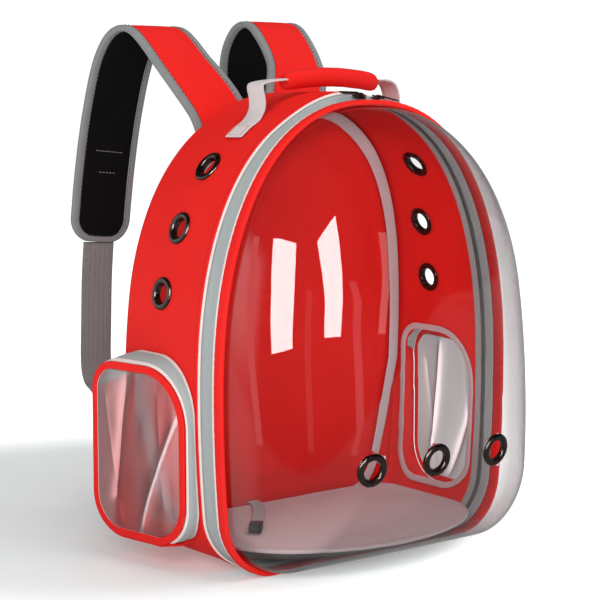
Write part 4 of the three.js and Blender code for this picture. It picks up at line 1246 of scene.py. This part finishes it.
EDGE_STITCH = dict(pitch=0.0042, length=0.0032, thread=0.0007)
# Rows of stitches across the strap's inner face: height and half length.
CROSS_ROWS = ((0.370, 0.016), (0.347, 0.010))
CROSS_STITCH = dict(pitch=0.0034, length=0.0028, thread=0.0007)
MESH_BLACK = (0.005, 0.005, 0.006)
MESH_SHADE = (0.002, 0.002, 0.003)
STRAP_GREY = (0.23, 0.225, 0.225)
STRAP_GREY_SHADE = (0.18, 0.176, 0.176)
EDGING_GREY = (0.22, 0.225, 0.225)
EDGING_SHADE = (0.18, 0.185, 0.185)
DARK_THREAD = (0.05, 0.05, 0.05)
DARK_THREAD_SHADE = (0.04, 0.04, 0.04)
PALE_THREAD = (0.42, 0.41, 0.40)
PALE_THREAD_SHADE = (0.36, 0.35, 0.34)

black_mesh = cloth("black_spacer_mesh", MESH_BLACK, MESH_SHADE, thread=0.0022, relief=0.4, roughness=0.9,
                   sheen=0.0)
grey_webbing = cloth("grey_webbing", STRAP_GREY, STRAP_GREY_SHADE, thread=0.0018, relief=0.6)
grey_binding = cloth("grey_edge_binding", EDGING_GREY, EDGING_SHADE, thread=0.0009, relief=0.3)
dark_thread = cloth("dark_thread", DARK_THREAD, DARK_THREAD_SHADE, relief=0.05, roughness=0.5)
pale_thread = cloth("pale_thread", PALE_THREAD, PALE_THREAD_SHADE, relief=0.05, roughness=0.5)

for side_name, side in SIDES.items():
    route = [seat(side * x, y, z) for x, y, z in STRAP_SEWN + STRAP_ROUTES[side_name]]
    path = even_path(route, STRAP_STEPS)
    length = path[1]

    def strap_place(t, s, h):
        """A point of the strap a distance along, across and up."""
        centre, _, way_across, up = band_frame(path, t / length, ACROSS)
        return centre + way_across * s + up * h

    def half_width(t):
        left = min(length - t, STRAP_ROUND)
        return STRAP_WIDTH / 2 - STRAP_ROUND + math.sqrt(STRAP_ROUND**2 - (STRAP_ROUND - left) ** 2)

    def strap_point(u, v):
        t = u * length
        s, h = rounded(v * math.tau, power=0.5)
        fullness = STRAP_PAD - 2 * STRAP_SLACK - STRAP_EDGE
        pad = STRAP_EDGE + fullness * (1 - abs(s) ** STRAP_EDGE_POWER)
        close = min(min(t, length - t) / STRAP_CLOSE, 1) ** 0.5
        return strap_place(t, s * (half_width(t) - STRAP_TUCK), h * pad / 2 * close)

    strap_span = (length, 2 * STRAP_WIDTH)
    bm = two_tone(bent_sheet(strap_point, 200, 44, strap_span), strap_span[1], lambda across: across < 0.5)
    strap = shown(f"shoulder_strap_{side_name}", bm, red_cloth, black_mesh)

    def strap_held(u, v):
        near_edge = abs(math.cos(v / strap_span[1] * math.tau)) > STRAP_HELD_EDGE
        return near_edge or u < STRAP_HELD_START or u > length - STRAP_HELD_END

    swell(strap, strap_held, PAD_PRESSURE, STRAP_SWELL)
    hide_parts(f"strap_{side_name}")

    inner = STRAP_WIDTH / 2 - STRAP_ROUND
    down = [(t, -STRAP_WIDTH / 2) for t in np.linspace(0, length - STRAP_ROUND, 60)]
    down += [(length - STRAP_ROUND + STRAP_ROUND * math.sin(a), -inner - STRAP_ROUND * math.cos(a))
             for a in np.linspace(0, math.pi / 2, 16)]
    outline = down + [(t, -s) for t, s in reversed(down)]
    edge_path = even_path([(t, s, 0) for t, s in outline], 420)

    def inward(share, reach):
        """A place along and across the strap, a reach in from its edge."""
        t, s, _, *run = between(edge_path[0], share)
        run = Vector(run).normalized()
        return min(max(t - run.y * reach, 0), length), s + run.x * reach

    def edge_point(u, v):
        w, h = rounded(v * math.tau, power=0.6)
        t, s = inward(u, EDGING_MIDDLE - EDGING_REACH * w)
        return strap_place(t, s, h * (STRAP_EDGE / 2 + EDGING_STAND))

    bm = bent_sheet(edge_point, 420, 16, (edge_path[1], EDGING_GIRTH))
    shown(f"strap_binding_{side_name}", bm, grey_binding)

    for face_name, face in (("in", 1), ("out", -1)):
        def edge_row(share):
            looks = (share, share * (1 - EDGE_ROW_LOOK) + EDGE_ROW_LOOK)
            here, ahead = (strap_place(*inward(at, EDGE_ROW), face * EDGE_ROW_HEIGHT) for at in looks)
            _, _, _, up = band_frame(path, inward(share, EDGE_ROW)[0] / length, ACROSS)
            return here, ahead - here, up

        sewn = stitches(f"strap_stitches_{side_name}_{face_name}", edge_row, dark_thread, **EDGE_STITCH)

    for number, (height, reach) in enumerate(CROSS_ROWS):
        at = max(k for k in range(STRAP_STEPS // 2, STRAP_STEPS + 1) if path[0][k][2] >= height) / STRAP_STEPS

        def cross_row(share):
            _, _, way_across, up = band_frame(path, at, ACROSS)
            return strap_place(at * length, (2 * share - 1) * reach, STRAP_PAD / 2), way_across, up

        row = stitches(f"strap_row_{side_name}_{number}", cross_row, pale_thread, **CROSS_STITCH)

    web_path = even_path([seat(side * x, y, z) for x, y, z in STRAP_WEBBING_ROUTE], 160)
    bm = band(web_path, ACROSS, STRAP_WEBBING, WEBBING_THICKNESS, 160, end=STRAP_WEBBING_END)
    web = shown(f"strap_web_{side_name}", bm, grey_webbing)
    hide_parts(f"strap_webbing_{side_name}")


# Studio: a wide white floor in a white surround, with a painted shadow about the bag and a faint cyan tint
# that cancels the red light the bag throws on it. The bag is lit by two large lamps, and its gloss mirrors
# two soft boxes, four faint streaks and the pale sides of the room, which only mirrored rays see.
STUDIO_MIDDLE = Vector((-0.10, RIM_Y - 0.06, 0.25))
FLOOR_RADIUS = 6.0
FLOOR_DROP = 0.0004
# Painted shadow: the floor glows less about the bag, out to a first distance, and fully from a second, so it
# shows darker about the bag.
PAINTED_SHADOW_MIDDLE = (-0.09, 0.20, 0)
PAINTED_SHADOW_EDGE = (0.28, 0.52)
PAINTED_SHADOW_GLOW = 0.19
CAMERA_PLACE = Vector((-0.9724, RIM_Y - 1.1637, 0.4112))
CAMERA_TARGET = Vector((-0.0500, RIM_Y + 0.0384, 0.2386))
SENSOR = 36
FOCAL_SHARE = 1660 / 600
PANEL_DISTANCE = 1.5
LAMPS = [
    # name, bearing, elevation, distance, size, power
    ("overhead", 40, 68, 2.2, 2.0, 34),
    ("front_fill", -46, 20, 2.4, 1.6, 40),
]
MIRRORED_PANELS = [
    # name, bearings and elevations of its corners from the upper left clockwise, radiance
    ("soft_box_left", ((-93.3, 31.0), (-60.8, 30.2), (-50.7, 0.2), (-72.6, -0.9)), 14),
    ("soft_box_right", ((-38.3, 29.3), (-23.1, 39.8), (-12.0, -0.3), (-23.8, 0.5)), 14),
    ("edge_streak", ((-125.5, 25.9), (-115.5, 28.0), (-86.4, -15.3), (-94.9, -15.7)), 0.7),
    ("middle_streak", ((-42.6, 10.8), (-37.2, 10.2), (-29.8, -15.4), (-35.5, -15.0)), 0.25),
    ("right_streak", ((-9.6, 8.9), (-4.9, 8.1), (17.1, -25.2), (9.7, -23.4)), 0.5),
    ("window_streak", ((10.2, 25.2), (15.4, 24.1), (15.6, -3.3), (11.4, -2.6)), 1.2),
]
# The room's pale sides: bearing, glow and the two heights between which the side fades out. A height is the
# upward share of a direction.
LEFT_SIDE = (-130, 0.95, 0.30, 0.45)
RIGHT_SIDE = (112, 0.2, 0.45, 0.65)
SIDE_SPREAD = (0.70, 0.92)
LEFT_FOOT = (-0.14, 0.12)
LEFT_FOOT_GLOW = 0.28
# The mirrored floor begins below a line that tilts towards a bearing, and glows from its edge on.
FLOOR_TILT = (-40, 0.15)
FLOOR_EDGE = (-0.06, -0.10)
FLOOR_GLOW = (0.02, 0.20)
WORLD_SEEN = 1.05
WORLD_LIGHT = 0.25

# The floor's faint cyan tint is painted: it cancels the red light the bag throws on the floor.
white_floor, tree, paint = coated("white_floor", {
    "Base Color": (0.70, 0.74, 0.74, 1), "Roughness": 1.0, "Specular IOR Level": 0.0,
    "Emission Color": (1, 1, 1, 1),
})
place = node(tree, "TexCoord").outputs["Object"]
# Distance from the middle of the painted shadow, which sets the floor's glow.
spread = node(tree, "VectorMath", {0: place, 1: PAINTED_SHADOW_MIDDLE}, operation="DISTANCE").outputs["Value"]
tree.links.new(remap(tree, spread, *PAINTED_SHADOW_EDGE, PAINTED_SHADOW_GLOW, 1.0), paint.inputs["Emission Strength"])
either_shader(tree, node(tree, "LightPath").outputs["Glossy Depth"], paint, node(tree, "BsdfTransparent"))
bm = bmesh.new()
bmesh.ops.create_circle(bm, cap_ends=True, segments=128, radius=FLOOR_RADIUS)
floor = in_scene("floor", bm, white_floor)
floor.location.z = -FLOOR_DROP


def aim(thing, place, target):
    thing.location = place
    thing.rotation_euler = (target - place).to_track_quat("-Z", "Y").to_euler()


camera = bpy.data.objects.new("camera", bpy.data.cameras.new("camera"))
camera.data.sensor_width = SENSOR
camera.data.lens = SENSOR * FOCAL_SHARE
bpy.context.scene.collection.objects.link(camera)
aim(camera, CAMERA_PLACE, CAMERA_TARGET)
bpy.context.scene.camera = camera


def bearing(azimuth, elevation, distance):
    """A place round the bag, its bearing counted from the front to the right."""
    a, e = math.radians(azimuth), math.radians(elevation)
    away = Vector((math.sin(a) * math.cos(e), -math.cos(a) * math.cos(e), math.sin(e)))
    return STUDIO_MIDDLE + away * distance


for name, azimuth, elevation, distance, size, power in LAMPS:
    light = bpy.data.lights.new(name, "AREA")
    light.size = size
    light.energy = power
    lamp = bpy.data.objects.new(name, light)
    bpy.context.scene.collection.objects.link(lamp)
    aim(lamp, bearing(azimuth, elevation, distance), STUDIO_MIDDLE)
    lamp.visible_camera = lamp.visible_glossy = lamp.visible_transmission = False

for name, corners, radiance in MIRRORED_PANELS:
    top_left, top_right, low_right, low_left = (bearing(*corner, PANEL_DISTANCE) for corner in corners)

    def panel_point(u, v):
        return low_left.lerp(low_right, u).lerp(top_left.lerp(top_right, u), v)

    glow, tree, _ = coated(name, {})
    shine = node(tree, "Emission", {"Strength": radiance})
    either_shader(tree, node(tree, "LightPath").outputs["Glossy Depth"], node(tree, "BsdfTransparent"), shine)
    panel = in_scene(name, bent_sheet(panel_point, 1, 1, (1, 1)), glow)
    panel.visible_camera = panel.visible_diffuse = panel.visible_shadow = False

world = bpy.data.worlds.new("studio")
world.use_nodes = True
bpy.context.scene.world = world
tree = world.node_tree
direction = node(tree, "TexCoord").outputs["Generated"]
height = node(tree, "SeparateXYZ", {0: direction}).outputs["Z"]


def toward(azimuth):
    """How nearly a direction points to a bearing."""
    a = math.radians(azimuth)
    level = (math.sin(a), -math.cos(a), 0)
    return node(tree, "VectorMath", {0: direction, 1: level}, operation="DOT_PRODUCT").outputs["Value"]


def room_side(azimuth, glow, fade_from, fade_to):
    across = remap(tree, toward(azimuth), *SIDE_SPREAD, 0.0, glow)
    return maths(tree, "MULTIPLY", across, remap(tree, height, fade_from, fade_to, 1.0, 0.0))


foot = remap(tree, height, *LEFT_FOOT, LEFT_FOOT_GLOW, 1.0)
sides = maths(tree, "MULTIPLY_ADD", room_side(*LEFT_SIDE), foot, room_side(*RIGHT_SIDE))
near_edge = maths(tree, "MULTIPLY_ADD", toward(FLOOR_TILT[0]), FLOOR_TILT[1], height)
mirrored = maths(tree, "ADD", sides, remap(tree, near_edge, *FLOOR_EDGE, *FLOOR_GLOW))
rays = node(tree, "LightPath").outputs
glossy = maths(tree, "MINIMUM", rays["Glossy Depth"], 1.0)
diffuse = rays["Is Diffuse Ray"]
straight = maths(tree, "SUBTRACT", 1.0, maths(tree, "MAXIMUM", glossy, diffuse))
lit = maths(tree, "MULTIPLY_ADD", straight, WORLD_SEEN, maths(tree, "MULTIPLY", diffuse, WORLD_LIGHT))
strength = maths(tree, "MULTIPLY_ADD", glossy, mirrored, lit)
tree.links.new(strength, tree.nodes["Background"].inputs["Strength"])
tree.nodes["Background"].inputs["Color"].default_value = (1, 1, 1, 1)
bpy.context.scene.view_settings.view_transform = "Standard"
